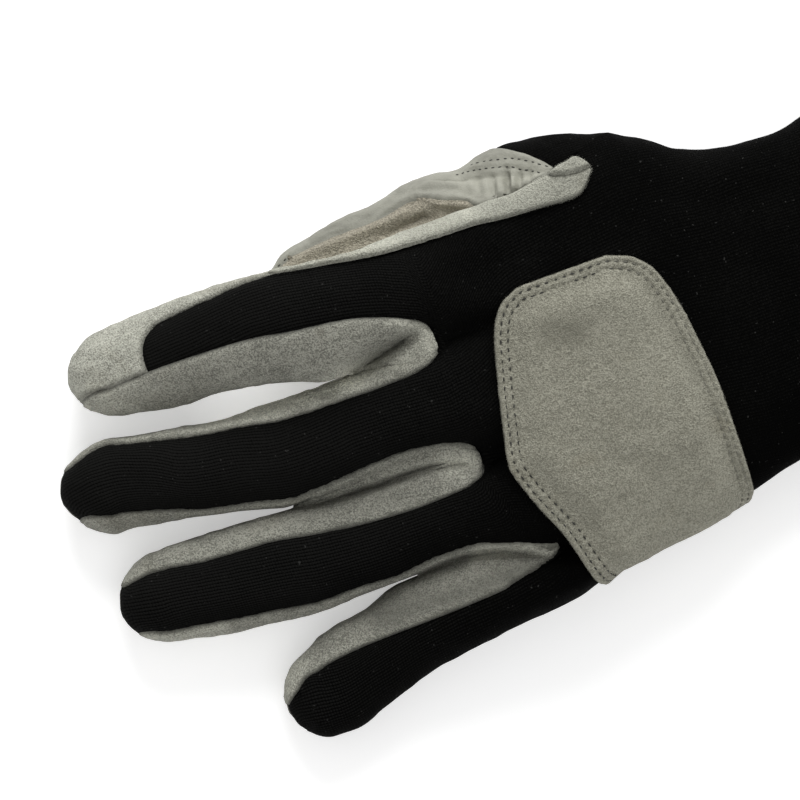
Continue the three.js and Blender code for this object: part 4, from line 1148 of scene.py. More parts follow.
def to_metres(points: Array) -> Array:
    """Returns points of the maker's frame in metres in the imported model's frame."""
    return (np.asarray(points) + FRAME_SHIFT) * MM


def linked(name: str, data: bpy.types.ID) -> bpy.types.Object:
    """Makes an object and links it to the scene.

    Args:
        name: The object's name.
        data: Its mesh, light or camera.

    Returns:
        The object.
    """
    obj = bpy.data.objects.new(name, data)
    bpy.context.scene.collection.objects.link(obj)
    return obj


def mesh_object(name: str, points: Array, faces: list, uvs: list, fields: dict[str, Array],
                flat_last: int) -> bpy.types.Object:
    """Makes an object from points in millimetres.

    Args:
        name: The object's name.
        points: Points in the maker's frame.
        faces: Corner lists.
        uvs: Pattern coordinates for each corner of each face.
        fields: Numbers at the points, by attribute name.
        flat_last: How many of the last faces aren't smooth, which keeps the edges beside them sharp.

    Returns:
        The new object, linked to the scene and smooth.
    """
    mesh = bpy.data.meshes.new(name)
    mesh.from_pydata(to_metres(points).tolist(), [], [list(face) for face in faces])
    flat = np.array([corner for face in uvs for corner in face], np.float32)
    mesh.uv_layers.new(name="pattern").uv.foreach_set("vector", flat.reshape(-1))
    for key, values in fields.items():
        mesh.attributes.new(key, "FLOAT", "POINT").data.foreach_set("value", np.asarray(values, np.float32))
    smooth = np.ones(len(mesh.polygons), bool)
    smooth[len(smooth) - flat_last:] = False
    mesh.polygons.foreach_set("use_smooth", smooth)
    mesh.update()
    return linked(name, mesh)




class WaveField:
    """Smooth unevenness of a given size: a seeded sum of plane waves."""

    SPREAD = 1.6

    def __init__(self, size: float, seed: int, count: int = 30) -> None:
        """Chooses the waves.

        Args:
            size: Length of a typical wave in millimetres.
            seed: Seed of the choice.
            count: Number of waves.
        """
        rng = np.random.default_rng(seed)
        ways = unit(rng.normal(size=(count, 3)))
        self.ways = ways * (2 * np.pi / (size * rng.uniform(0.75, 1.4, (count, 1))))
        self.starts = rng.uniform(0, 2 * np.pi, count)

    def __call__(self, points: Array) -> Array:
        """Returns the field's values at points, of about -1 to 1."""
        total = sum(np.cos(points @ way + start) for way, start in zip(self.ways, self.starts))
        return total / math.sqrt(len(self.starts) * self.SPREAD)


def waves(points: Array, *fields: tuple[float, float, int]) -> Array:
    """Returns the sum of wave fields at points, each given by its height, size and seed."""
    return sum(height * WaveField(size, seed)(points) for height, size, seed in fields)


def beside_line(flat: Array, line: tuple) -> tuple[Array, Array]:
    """Returns the distance of flat places from a line of points, and the share along it.

    Args:
        flat: Places seen from above.
        line: The line's points.

    Returns:
        Distances, and shares of the line's length at the nearest places.
    """
    nearest, along = np.full(len(flat), 1e9), np.zeros(len(flat))
    lengths = [math.dist(a, b) for a, b in zip(line, line[1:])]
    total, start = sum(lengths), 0.0
    for a, b, length in zip(line, line[1:], lengths):
        a, b = np.array(a, float), np.array(b, float)
        share = clamp(((flat - a) @ (b - a)) / length ** 2)
        distance = np.linalg.norm(flat - (a + share[:, None] * (b - a)), axis=1)
        closer = distance < nearest
        nearest = np.where(closer, distance, nearest)
        along = np.where(closer, (start + share * length) / total, along)
        start += length
    return nearest, along


def painted_shading_at(points: Array) -> Array:
    """Returns the painted light and painted shade at points: tones from -1, dark, to 1, light."""
    return sum(strength * bell(beside_line(points[:, :2], line)[0], reach) for line, reach, strength in PAINTED_SHADING_SPOTS)


@dataclass(frozen=True)
class Crease:
    """A fold along a line seen from above: pressed in, or raised where its depth is negative."""

    ENDS: ClassVar = (0.06, 0.94)   # shares of the line between which it fades in and out
    SOFT: ClassVar = 0.6            # power of that fade

    line: tuple[tuple[float, float], ...]
    depth: float
    width: float
    lowest: float = 4.0

    def press(self, points: Array, normals: Array) -> Array:
        """Returns how far the fold moves points along their normals.

        Args:
            points: Points in millimetres.
            normals: Their normals.

        Returns:
            Moves in millimetres.
        """
        nearest, along = beside_line(points[:, :2], self.line)
        fade = np.sin(np.pi * clamp(along, *self.ENDS))
        faces_up = ease(normals[:, 2] * 2 + 0.6) * (points[:, 2] > self.lowest)
        return -self.depth * bell(nearest, self.width) * fade ** self.SOFT * faces_up


@dataclass(frozen=True)
class TipOutline:
    """A fingertip's outline from above: its distances from a centre, at even angles from -90 to 90 degrees."""

    STEP: ClassVar = 3.0            # degrees between two places of the smoothed outline
    ROUNDS: ClassVar = 12           # of its smoothing
    BIN: ClassVar = 6.0             # degrees over which the form's own outline is read
    REACH: ClassVar = 108.0         # degrees round which points are moved
    FADE: ClassVar = (102.0, 30.0)  # degrees at which the move has ended, and over which it fades
    BEYOND: ClassVar = 2.5          # how far outside the outline points are moved

    centre: tuple[float, float]
    radii: tuple[float, ...]

    def round_off(self, points: Array) -> None:
        """Moves the points outwards or inwards so that the tip has the outline.

        Args:
            points: Points, which are changed in place.
        """
        flat = points[:, :2] - np.array(self.centre)
        angle = np.degrees(np.arctan2(flat[:, 1], -flat[:, 0]))
        radius = np.hypot(*flat.T)
        fine = np.arange(-self.REACH - self.BIN, self.REACH + self.BIN + 1, self.STEP)
        wanted = np.interp(fine, np.linspace(-90, 90, len(self.radii)), self.radii)
        for _ in range(self.ROUNDS):
            wanted[1:-1] = (wanted[:-2] + 2 * wanted[1:-1] + wanted[2:]) / 4
        near = (np.abs(angle) < self.REACH) & (radius < np.interp(angle, fine, wanted) + self.BEYOND)
        bins = np.arange(-self.REACH, self.REACH + 1, self.BIN)
        place = np.digitize(angle[near], bins) - 1
        reached = np.zeros(len(bins) - 1)
        np.maximum.at(reached, place, radius[near])
        current = np.interp(angle[near], (bins[1:] + bins[:-1]) / 2, reached)
        share = ease((self.FADE[0] - np.abs(angle[near])) / self.FADE[1])
        factor = 1 + share * (np.interp(angle[near], fine, wanted) / np.maximum(current, 1) - 1)
        points[near, :2] = flat[near] * factor[:, None] + np.array(self.centre)


@dataclass(frozen=True)
class Nudge:
    """A small move of the form near a place seen from above."""

    place: tuple[float, float]
    reach: float
    move: tuple[float, float]

    def apply(self, points: Array) -> None:
        """Moves the points near the place."""
        distance = np.linalg.norm(points[:, :2] - np.array(self.place), axis=1)
        points[:, :2] += bell(distance, self.reach)[:, None] * np.array(self.move)


CREASES = (
    Crease(((136.4, 54.4), (135.4, 51.3), (134.2, 47.8)), 1.9, 0.8),
    Crease(((137.5, 54.4), (136.6, 51.0), (135.8, 48.0)), -1.0, 0.9),
    Crease(((132.0, 53.4), (131.2, 51.0), (130.3, 48.0)), 1.1, 0.9),
    Crease(((128.5, 55.8), (127.8, 53.0), (127.2, 50.0)), 0.9, 1.2),
    Crease(((133.6, 53.8), (133.0, 51.0), (132.4, 48.2)), -0.6, 0.9),
    Crease(((139.6, 53.6), (138.4, 50.8), (137.1, 48.0)), 1.0, 0.8),
    Crease(((142.4, 52.4), (141.0, 50.6), (140.0, 48.4)), 0.8, 0.8),
    Crease(((124.6, 56.0), (124.8, 53.6), (124.2, 50.6)), 0.6, 1.3),
    Crease(((112.0, 57.4), (116.4, 56.6), (119.9, 55.7), (122.7, 54.1), (123.5, 51.4)), 0.8, 1.3),
    Crease(((113.0, 58.6), (118.0, 57.8), (123.0, 56.2)), -0.4, 1.2),
    Crease(((84.0, 56.2), (94.0, 56.6), (104.0, 56.9), (112.0, 56.4)), -0.5, 1.5, 6.0),
    Crease(((76.0, 51.9), (84.1, 51.5), (93.7, 51.7), (101.3, 52.2), (108.0, 52.6), (115.1, 51.8)),
           -1.1, 1.5, 2.0),
    Crease(((101.0, 49.0), (105.0, 49.4), (108.9, 49.8), (112.0, 50.0), (114.5, 49.0)), 1.2, 1.0, 2.0),
    Crease(((64.0, 21.6), (70.0, 24.0), (75.0, 28.5)), 0.5, 2.6),
    Crease(((78.0, 23.0), (86.0, 25.8), (95.0, 25.4)), -0.5, 2.4),
    Crease(((68.6, 18.9), (71.6, 16.6), (74.4, 13.8)), 1.0, 1.1),
    Crease(((66.8, 18.2), (69.6, 15.9), (72.0, 13.4)), -0.6, 1.2),
    Crease(((31.0, 46.6), (32.2, 44.4), (33.4, 41.6)), 0.3, 0.8),
    Crease(((58.0, -13.6), (70.0, -14.8), (84.0, -14.2), (96.0, -13.4)), -0.5, 2.4),
    Crease(((80.0, -31.5), (92.0, -30.5), (104.0, -31.5), (112.0, -34.0)), 0.6, 3.2, 10.0),
    Crease(((100.0, 6.0), (112.0, 3.5), (124.0, 4.5)), 0.6, 4.0, 12.0),
    Crease(((102.0, 33.0), (116.0, 30.0), (130.0, 31.5), (146.0, 37.0)), 0.7, 5.0, 12.0),
    Crease(((166.0, 40.0), (176.0, 31.0), (190.0, 26.0), (204.0, 27.0)), 0.9, 4.5, 10.0),
    Crease(((172.0, 42.0), (184.0, 35.0), (198.0, 33.0)), -0.7, 4.0, 10.0),
    Crease(((176.0, -34.0), (188.0, -30.0), (202.0, -32.0)), 0.8, 4.0, 10.0),
    Crease(((150.0, 56.5), (160.0, 50.0), (170.0, 43.5)), 0.8, 3.6, 8.0),
    Crease(THUMB_ROWS[0], 0.3, 0.6),
    Crease(THUMB_ROWS[1], 0.35, 0.6),
)

TRENCHES = (
    Crease(((82.5, 18.4), (86.0, 19.1), (89.3, 19.9), (94.3, 21.2), (99.0, 22.4)), 8.0, 1.5, 6.0),
    Crease(((83.5, 18.8), (86.0, 19.1), (89.3, 19.9), (94.3, 21.2), (98.0, 22.2)), 5.0, 0.7, 6.0),
    Crease(((60.0, -10.1), (64.3, -10.6), (70.1, -10.8), (76.3, -11.3), (81.9, -11.2), (89.1, -11.2), (95.0, -12.0),
            (100.0, -13.6)), 3.5, 0.5, 6.0),
    Crease(((82.0, -36.7), (85.1, -36.5), (91.3, -36.3), (97.3, -37.1), (104.0, -39.3), (110.5, -42.6)),
           1.6, 0.5, 6.0),
    Crease(((56.0, -9.6), (64.3, -10.6), (70.1, -10.8), (76.3, -11.3), (81.9, -11.2), (89.1, -11.2), (95.0, -12.0),
            (101.0, -14.0)), 5.0, 1.0, 6.0),
    Crease(((78.0, -36.8), (85.1, -36.5), (91.3, -36.3), (97.3, -37.1), (104.0, -39.3), (111.5, -43.2)),
           4.0, 1.0, 6.0),
)

TIPS = (
    TipOutline((24.0, 38.0), (10.2, 9.9, 11.8, 13.6, 14.2, 13.7, 13.6)),
    TipOutline((12.0, 12.0), (12.2, 12.1, 12.5, 13.2, 13.6, 12.3, 12.2)),
    TipOutline((16.0, -20.0), (12.1, 11.8, 12.3, 13.0, 13.1, 12.5, 12.4)),
    TipOutline((46.0, -58.5), (10.6, 10.4, 10.5, 11.0, 11.1, 12.2, 14.1)),
)

NUDGES = (
    Nudge((138.5, 61.6), 2.4, (0.0, 0.5)),
    Nudge((125.0, 60.6), 4.5, (0.0, -1.7)),
    Nudge((160.0, 57.0), 6.0, (0.0, -1.4)),
    Nudge((168.0, 53.0), 4.0, (0.0, -0.7)),
    Nudge((119.5, 49.0), 4.5, (2.8, -0.2)),
    Nudge((130.0, -54.0), 9.0, (0.0, -0.6)),
    Nudge((110.0, 53.4), 6.0, (0.8, 1.3)),
)

PINCHES = ((76.5, 18.4, 7.0, 2.4), (52.5, -8.7, 8.0, 1.9), (76.5, -36.6, 8.0, 2.0))
CROTCHES = ((105.0, 20.0, 4.6), (106.6, -14.0, 4.6), (119.5, 51.0, 3.6), (113.5, 53.8, 2.6),
            (73.5, -13.6, 3.2), (112.0, -44.6, 4.0))
CORNERS = tuple((x, y, 3.2) for x, y in (
    (1.7, 20.2), (1.4, 7.0), (5.7, -12.8), (5.9, -25.9), (35.6, -60.0), (36.4, -66.0), (12.0, 36.0),
    (13.5, 31.5), (12.3, 46.4)))


class Sculptor:
    """Gives the smooth form the unevenness of cloth, its seams and its folds."""

    KNIT = (Piece.BACK, Piece.CUFF, Piece.BINDING)
    TIP_REACH = 9.0
    LEAST = 0.05            # smaller weights count as none
    CROTCH_FLOOR = 14.0
    PINCH = 0.93            # share of the way that a gap's walls move together
    PINCH_SHIFT = 3.0
    PINCH_REACH = 5.0
    TIP_BORDER = 2.0
    THUMB_BOX = (32.0, 58.0, 15.5)                                      # lowest and highest Y, highest Z
    THUMB_EDGES = ((66.0, 7.0), (152.0, 6.0), (44.5, 2.0), (3.0, 4.0))  # start and fade in X, X, Y and Z
    CLOTH_WAVES = ((0.3, 17, 3), (0.1, 6, 5))
    SUEDE_WAVES = (0.08, 3.4, 11)
    SEAM_DIP = (0.55, 0.6)      # depth and width beside every seam
    KNIT_DIP = (0.25, 2.2)      # more of it in knit
    SUEDE_ROLL = (0.24, 1.0)    # height and width of the roll along a seam in suede
    ROLL_FROM_SEAM = 1.5
    PUCKER = (0.25, 2.0)        # depth and width of the dents along a seam
    PUCKER_WAVES = (2.3, 7)
    UNDERSIDE = (-0.5, 2.5)     # what faces down more than this moves less, the less high it is below this

    def __init__(self, cloth: Cloth) -> None:
        """Works out what is knit.

        Args:
            cloth: The welded form, which is changed in place.
        """
        self.cloth = cloth
        knit = [float(piece in self.KNIT) for piece in Piece]
        total, count = np.zeros((2, len(cloth.points)))
        for face, label in zip(cloth.faces, cloth.labels):
            total[list(face)] += knit[label]
            count[list(face)] += 1
        self.knit = total / np.maximum(count, 1)

    def relax(self, weight: Array, rounds: int, back: float = 0.0, even: bool = False,
              seams: bool = False) -> None:
        """Smooths the points that have a weight.

        Args:
            weight: How far each point moves to the middle of its neighbours each round.
            rounds: Number of rounds.
            back: Share of each move that a second pass undoes, so that the form doesn't shrink.
            even: Whether near and far neighbours count the same.
            seams: Whether the neighbours are those along the same seam, so that its line is evened out.
        """
        points = self.cloth.points
        pairs = self.cloth.seam_edges() if seams else {
            pair for face in self.cloth.faces for pair in zip(face, face[1:] + face[:1])}
        pairs = np.array(sorted({*pairs, *((b, a) for a, b in pairs)}))
        pairs = pairs[weight[pairs[:, 0]] > 0]
        here, there = pairs.T
        apart = np.linalg.norm(points[here] - points[there], axis=1)
        pull = np.ones(len(apart)) if even else 1 / np.maximum(apart, 0.12)
        total = np.bincount(here, pull, len(points))
        share = weight * (total > seams)
        for _ in range(rounds):
            for step in (1.0, -back) if back else (1.0,):
                middle = np.zeros_like(points)
                np.add.at(middle, here, points[there] * pull[:, None])
                middle /= np.maximum(total, 1e-9)[:, None]
                points += (middle - points) * (step * share)[:, None]

    def tip_weight(self) -> Array:
        """Returns a weight that is 1 at the fingertips and fades over their length."""
        x, y, z = self.cloth.points.T
        low, high, top = self.THUMB_BOX
        weight = (y > low) & (y < high) & (z < top) & (x > THUMB_TIP - self.TIP_BORDER)
        weight = weight * ease((THUMB_TIP + self.TIP_REACH - x) / self.TIP_REACH)
        for tip, _, _, rows in FINGERS.values():
            low, high = min(row[4] for row in rows[:3]), max(row[1] for row in rows[:3])
            inside = (y > low - self.TIP_BORDER) & (y < high + self.TIP_BORDER)
            weight = np.maximum(weight, inside * ease((tip + self.TIP_REACH - x) / self.TIP_REACH))
        return weight

    def thumb_weight(self) -> Array:
        """Returns a weight that is 1 on the upper side of the thumb and its root."""
        x, y, z = self.cloth.points.T
        start, end, side, low = self.THUMB_EDGES
        return (ease((x - start[0]) / start[1]) * ease((end[0] - x) / end[1]) * ease((y - side[0]) / side[1])
                * ease((z - low[0]) / low[1]))

    def weight_round(self, places: tuple[tuple[float, float, float], ...], lowest: float = -1.0) -> Array:
        """Returns a weight round places seen from above.

        Args:
            places: The places, each with its reach.
            lowest: Points below this height have none.

        Returns:
            The weight of each point.
        """
        x, y, z = self.cloth.points.T
        weight = np.max([bell(np.hypot(x - a, y - b), reach) for a, b, reach in places], axis=0) * (z > lowest)
        return np.where(weight > self.LEAST, weight, 0)

    def smooth(self) -> Array:
        """Rounds the tips, evens out the seams and narrows the ends of the gaps.

        Returns:
            The fingertips' weight.
        """
        points = self.cloth.points
        tips = self.tip_weight()
        self.relax(0.6 * tips, 14, 1.04, True)
        self.relax(0.7 * self.weight_round(CORNERS), 24, even=True)
        ends = np.maximum(self.weight_round(CROTCHES, self.CROTCH_FLOOR), self.weight_round(CORNERS))
        self.relax(0.6 * self.thumb_weight(), 5)
        self.relax(0.12 + 0.4 * (ends > 0), 12, even=True, seams=True)
        self.relax(0.6 * ends, 16)
        self.relax(0.5 * (ends > 0), 4, even=True, seams=True)
        self.relax(0.5 * ends, 4)
        for tip in TIPS:
            tip.round_off(points)
        self.relax(0.6 * self.weight_round(CORNERS), 8, even=True)
        for nudge in NUDGES:
            nudge.apply(points)
        for x, y, along, across in PINCHES:
            near = bell(points[:, 0] - x, along) * bell(points[:, 1] - y, across)
            points[:, 1] += self.PINCH * near * (y - points[:, 1])
        gaps = tuple((x + self.PINCH_SHIFT, y, self.PINCH_REACH) for x, y, _, _ in PINCHES)
        self.relax(0.5 * self.weight_round(gaps), 6)
        return tips

    def sculpt(self) -> None:
        """Smooths the form, then moves the points along their normals and keeps them on the table."""
        tips = self.smooth()
        self.cloth.update_normals()
        points, normals, seam = self.cloth.points, self.cloth.normals, self.cloth.seam
        suede = 1 - self.knit
        sewn = (1 - 0.9 * tips) * (1 - 0.85 * self.thumb_weight())
        move = waves(points, *self.CLOTH_WAVES) + suede * waves(points, self.SUEDE_WAVES)
        (dip, dip_width), (knit_dip, knit_width) = self.SEAM_DIP, self.KNIT_DIP
        move -= sewn * (dip * bell(seam, dip_width) + self.knit * knit_dip * bell(seam, knit_width))
        move += suede * self.SUEDE_ROLL[0] * bell(seam - self.ROLL_FROM_SEAM, self.SUEDE_ROLL[1])
        pucker = ease(0.5 + WaveField(*self.PUCKER_WAVES)(points))
        move -= sewn * self.PUCKER[0] * bell(seam, self.PUCKER[1]) * pucker
        for crease in CREASES:
            move += crease.press(points, normals)
        sunk = sum(trench.press(points, normals) for trench in TRENCHES)
        facing, height = self.UNDERSIDE
        points += normals * (move * np.where(normals[:, 2] < facing, ease(points[:, 2] / height), 1))[:, None]
        points[:, 2] = np.maximum(points[:, 2], 0.0)
        self.cloth.update_normals()
        self.cloth.outward = self.cloth.normals
        points[:, 2] += sunk
        self.cloth.update_normals()




Colour = tuple[float, float, float]


def shade(colour: Colour, *strengths: float) -> Colour:
    """Returns a colour made lighter or darker, all in one or each part by itself."""
    return tuple(part * strength for part, strength in zip(colour, strengths * 3))


class Value:
    """A number that varies over a surface, for use in Python expressions."""

    def __init__(self, canvas: "Canvas", socket: bpy.types.NodeSocket) -> None:
        """Wraps a socket of a canvas."""
        self.canvas = canvas
        self.socket = socket

    def join(self, operation: str, first: "Value | float", second: "Value | float") -> "Value":
        """Returns the result of a Math node.

        Args:
            operation: The node's operation.
            first: Its first input.
            second: Its second input.

        Returns:
            The result.
        """
        node = self.canvas.node("ShaderNodeMath", {"operation": operation}, {0: first, 1: second})
        return Value(self.canvas, node.outputs[0])

    def __add__(self, other: "Value | float") -> "Value":
        """Returns the sum."""
        return self.join("ADD", self, other)

    __radd__ = __add__

    def __sub__(self, other: "Value | float") -> "Value":
        """Returns the difference."""
        return self.join("SUBTRACT", self, other)

    def __rsub__(self, other: "Value | float") -> "Value":
        """Returns the difference from a number."""
        return self.join("SUBTRACT", other, self)

    def __mul__(self, other: "Value | float") -> "Value":
        """Returns the product."""
        return self.join("MULTIPLY", self, other)

    __rmul__ = __mul__

    def __truediv__(self, other: "Value | float") -> "Value":
        """Returns the quotient."""
        return self.join("DIVIDE", self, other)

    def apply(self, operation: str) -> "Value":
        """Returns this number after a Math operation such as SINE or FRACT."""
        return self.join(operation, self, 0.0)

    def between(self, low: float, high: float) -> "Value":
        """Returns a smooth rise.

        Args:
            low: Up to here it is 0.
            high: From here on it is 1.

        Returns:
            The rise.
        """
        settings = {"interpolation_type": "SMOOTHSTEP"}
        node = self.canvas.node("ShaderNodeMapRange", settings, {"Value": self, "From Min": low, "From Max": high})
        return Value(self.canvas, node.outputs["Result"])


class Nodes:
    """Adds nodes to a tree."""

    tree: bpy.types.NodeTree

    def node(self, kind: str, settings: dict | None = None, inputs: dict | None = None) -> bpy.types.Node:
        """Adds a node.

        Args:
            kind: The node's type.
            settings: Its properties, set first.
            inputs: Values or links for its sockets, by name or number.

        Returns:
            The node.
        """
        node = self.tree.nodes.new(kind)
        for key, value in (settings or {}).items():
            setattr(node, key, value)
        for key, value in (inputs or {}).items():
            self.plug(node.inputs[key], value)
        return node

    def plug(self, socket: bpy.types.NodeSocket, value: object) -> None:
        """Sets a socket to a constant, or links it.

        Args:
            socket: The socket.
            value: A constant, a Value or another socket.
        """
        value = value.socket if isinstance(value, Value) else value
        if isinstance(value, bpy.types.NodeSocket):
            self.tree.links.new(value, socket)
        else:
            socket.default_value = value


class Canvas(Nodes):
    """One material's nodes."""

    def __init__(self, name: str, shader_values: dict[str, float]) -> None:
        """Makes the material.

        Args:
            name: The material's name.
            shader_values: Constants for the shader's sockets.
        """
        self.material = bpy.data.materials.new(name)
        self.material.use_nodes = True
        self.tree = self.material.node_tree
        self.shader = self.tree.nodes["Principled BSDF"]
        for key, value in shader_values.items():
            self.shader.inputs[key].default_value = value

    def place(self) -> bpy.types.NodeSocket:
        """Returns the place on the object, in metres."""
        return self.node("ShaderNodeTexCoord").outputs["Object"]

    def noise(self, size: float, detail: float = 2.0, rough: float = 0.5, stretch: tuple | None = None,
              distortion: float = 0.0) -> Value:
        """Returns a cloudy noise.

        Args:
            size: Size of its patches in millimetres.
            detail: Number of finer layers.
            rough: Strength of the finer layers.
            stretch: Scale along each axis, for streaks.
            distortion: How far it swirls.

        Returns:
            A number around one half.
        """
        where = self.place()
        if stretch:
            where = self.node("ShaderNodeMapping", None, {"Vector": where, "Scale": stretch}).outputs[0]
        node = self.node("ShaderNodeTexNoise", None, {
            "Vector": where, "Scale": 1000 / size, "Detail": detail, "Roughness": rough, "Distortion": distortion})
        return Value(self, node.outputs["Fac"])

    def tone(self, *noises: tuple[Value, float]) -> Value:
        """Returns the sum of noises about their middles, each with its strength, around one half."""
        parts = ((noise - 0.5) * strength for noise, strength in noises)
        return sum(parts, next(parts)) + 0.5

    def cells(self, size: float) -> Value:
        """Returns a pattern of cells of a size in millimetres: 0 at their middles and more towards their edges."""
        inputs = {"Vector": self.place(), "Scale": 1000 / size, "Smoothness": 0.4}
        return Value(self, self.node("ShaderNodeTexVoronoi", {"feature": "SMOOTH_F1"}, inputs).outputs["Distance"])

    def attribute(self, name: str) -> Value:
        """Returns a number stored at the points of the mesh."""
        return Value(self, self.node("ShaderNodeAttribute", {"attribute_name": name}).outputs["Fac"])

    def pattern(self) -> tuple[Value, Value]:
        """Returns the place across and along the cloth, in millimetres."""
        uv = self.node("ShaderNodeUVMap", {"uv_map": "pattern"}).outputs[0]
        parts = self.node("ShaderNodeSeparateXYZ", None, {0: uv})
        return Value(self, parts.outputs[0]), Value(self, parts.outputs[1])

    def along_glove(self) -> Value:
        """Returns the place along the glove, in millimetres in the maker's frame."""
        parts = self.node("ShaderNodeSeparateXYZ", None, {0: self.place()})
        return Value(self, parts.outputs[0]) / MM - float(FRAME_SHIFT[0])

    def blend(self, factor: Value, low: object, high: object) -> bpy.types.NodeSocket:
        """Returns a colour between two.

        Args:
            factor: 0 for low, 1 for high.
            low: A colour or a colour's socket.
            high: A colour or a colour's socket.

        Returns:
            The colour's socket.
        """
        node = self.node("ShaderNodeMix", {"data_type": "RGBA"})
        colours = [socket for socket in node.inputs if socket.type == "RGBA"]
        self.plug(node.inputs[0], factor)
        for socket, value in zip(colours, (low, high)):
            self.plug(socket, (*value, 1) if isinstance(value, tuple) else value)
        return next(socket for socket in node.outputs if socket.type == "RGBA")

    def finish(self, colour: bpy.types.NodeSocket, height: Value, depth: float, rough: Value | float,
               strength: float) -> bpy.types.Material:
        """Links the shader.

        Args:
            colour: The base colour.
            height: The relief.
            depth: Metres of relief for a height of 1.
            rough: The roughness.
            strength: How strongly the relief shows.

        Returns:
            The material.
        """
        bump = self.node("ShaderNodeBump", None, {"Height": height, "Distance": depth, "Strength": strength})
        self.plug(self.shader.inputs["Base Color"], colour)
        self.plug(self.shader.inputs["Roughness"], rough)
        self.plug(self.shader.inputs["Normal"], bump.outputs[0])
        return self.material


@dataclass(frozen=True)
class Finish:
    """What a piece is made of."""

    name: str
    dark: Colour
    light: Colour

    def material(self) -> bpy.types.Material:
        """Returns the material, which is made only once."""
        raise NotImplementedError


@dataclass(frozen=True)
class Suede(Finish):
    """Napped suede: brushed lighter and darker, with spots of painted light and painted shade, and painted shade
    along its seams.
    """

    # strength of the painted shade along the seams
    seam_dark: float = 0.35
    nap: float = 0.42
    speckle: float = 2.2
    mottle: float = 0.35

    @cache
    def material(self) -> bpy.types.Material:
        """Returns the material, which is made only once."""
        canvas = Canvas(self.name, {"Specular IOR Level": 0.1, "Sheen Weight": 0.06, "Sheen Roughness": 0.5})
        fine = canvas.noise(self.nap, 2.0, 0.6)
        grain = canvas.noise(0.95, 3.0, 0.6, None, 0.5)
        brushed = canvas.noise(8.0, 4.0, 0.55, (1.0, 1.7, 1.0), 1.2)
        broad = canvas.noise(34.0, 2.0, 0.5)
        tone = canvas.tone((fine, self.speckle), (grain, 0.8), (brushed, self.mottle), (broad, 0.5)).between(0.0, 1.0)
        # A lit copy and a darker copy of the colours carry the spots of painted light and painted shade.
        pale = canvas.blend(tone, shade(self.dark, 3.0), shade(self.light, 2.3))
        painted_shading = canvas.attribute("painted_shading")
        colour = canvas.blend(painted_shading, canvas.blend(tone, self.dark, self.light), pale)
        colour = canvas.blend(painted_shading * -1, colour, shade(self.dark, 0.75))
        stain = canvas.noise(16.0, 2.0, 0.5, None, 0.8).between(0.56, 0.74) * 0.22
        colour = canvas.blend(stain, colour, shade(self.dark, 1.06, 0.98, 0.86))
        # Painted shade along the seams, patchy with the nap.
        seam = canvas.attribute("seam")
        stretch_and_seam_shade = (1 - seam.between(0.1, 1.3)) * (fine * 0.8 + 0.25) * self.seam_dark * 2
        colour = canvas.blend(stretch_and_seam_shade, colour, shade(self.dark, 0.4))
        rough = fine * 0.1 + 0.86
        return canvas.finish(colour, fine * 0.8 + grain * 0.6, 0.001, rough, 0.95)


@dataclass(frozen=True)
class Knit(Finish):
    """Fine rib knit, whose ribs follow the pattern coordinates, with a little lint."""

    wale: float = 0.86
    course: float = 0.74

    @cache
    def material(self) -> bpy.types.Material:
        """Returns the material, which is made only once."""
        canvas = Canvas(self.name, {"Specular IOR Level": 0.025})
        across, along = canvas.pattern()
        wander = canvas.noise(7.0, 2.0, 0.5)
        across = across + wander * 0.5
        place = (across / self.wale).apply("FRACT")
        side = ((place - 0.5) * 2).apply("ABSOLUTE")
        rib = 1 - side * side
        turn = ((along / self.course) + side * 0.45 + wander * 0.6) * (2 * math.pi)
        loop = turn.apply("SINE") * 0.5 + 0.5
        height = rib * 0.55 + loop * (rib * 0.35 + 0.1)
        fuzz = canvas.noise(0.5, 3.0, 0.7)
        broad = canvas.noise(22.0, 2.0, 0.5)
        # Lighter towards the fingers, where the knit is stretched, and its ribs show more there.
        stretch_and_seam_shade = 1 - along.between(40, 150)
        shaded = across.between(0, 40) * 0.3
        tone = height * (stretch_and_seam_shade * 0.8 + 0.4) + (fuzz - 0.5) * 1.3 + (broad - 0.5) * 0.4 + stretch_and_seam_shade * 0.04 - shaded
        colour = canvas.blend(tone.between(0.0, 1.0), self.dark, self.light)
        lint = canvas.noise(0.9, 1.0, 0.4).between(0.74, 0.8) * 0.12
        colour = canvas.blend(lint, colour, (0.2, 0.2, 0.19))
        return canvas.finish(colour, height * 0.7 + fuzz * 0.6, 0.0003, fuzz * 0.1 + 0.86, 0.7)


@dataclass(frozen=True)
class Leather(Finish):
    """Smooth grain leather with faint creases and soft stains, spots of painted light, and painted shade along its
    seams.
    """

    @cache
    def material(self) -> bpy.types.Material:
        """Returns the material, which is made only once."""
        canvas = Canvas(self.name, {"Specular IOR Level": 0.3})
        grain = canvas.cells(0.55)
        fine = canvas.noise(0.5, 3.0, 0.6)
        marbled = canvas.noise(8.0, 4.0, 0.6, (1.0, 1.6, 1.0), 1.8)
        broad = canvas.noise(24.0, 2.0, 0.5)
        tone = canvas.tone((marbled, 1.3), (broad, 0.8), (fine, 0.35))
        colour = canvas.blend(tone.between(0.0, 1.0), self.dark, self.light)
        # Spots of painted light.
        colour = canvas.blend(canvas.attribute("painted_shading"), colour, shade(self.light, 2.2))
        seam = canvas.attribute("seam")
        # Painted shade along the seams.
        colour = canvas.blend((1 - seam.between(0.1, 0.9)) * 0.15, colour, shade(self.dark, 0.45))
        wrinkle = canvas.noise(2.6, 3.0, 0.6, (1.0, 0.45, 1.0), 1.0)
        height = grain * 0.35 + fine * 0.25 + wrinkle * 0.9
        return canvas.finish(colour, height, 0.0004, marbled * 0.2 + 0.52, 0.5)


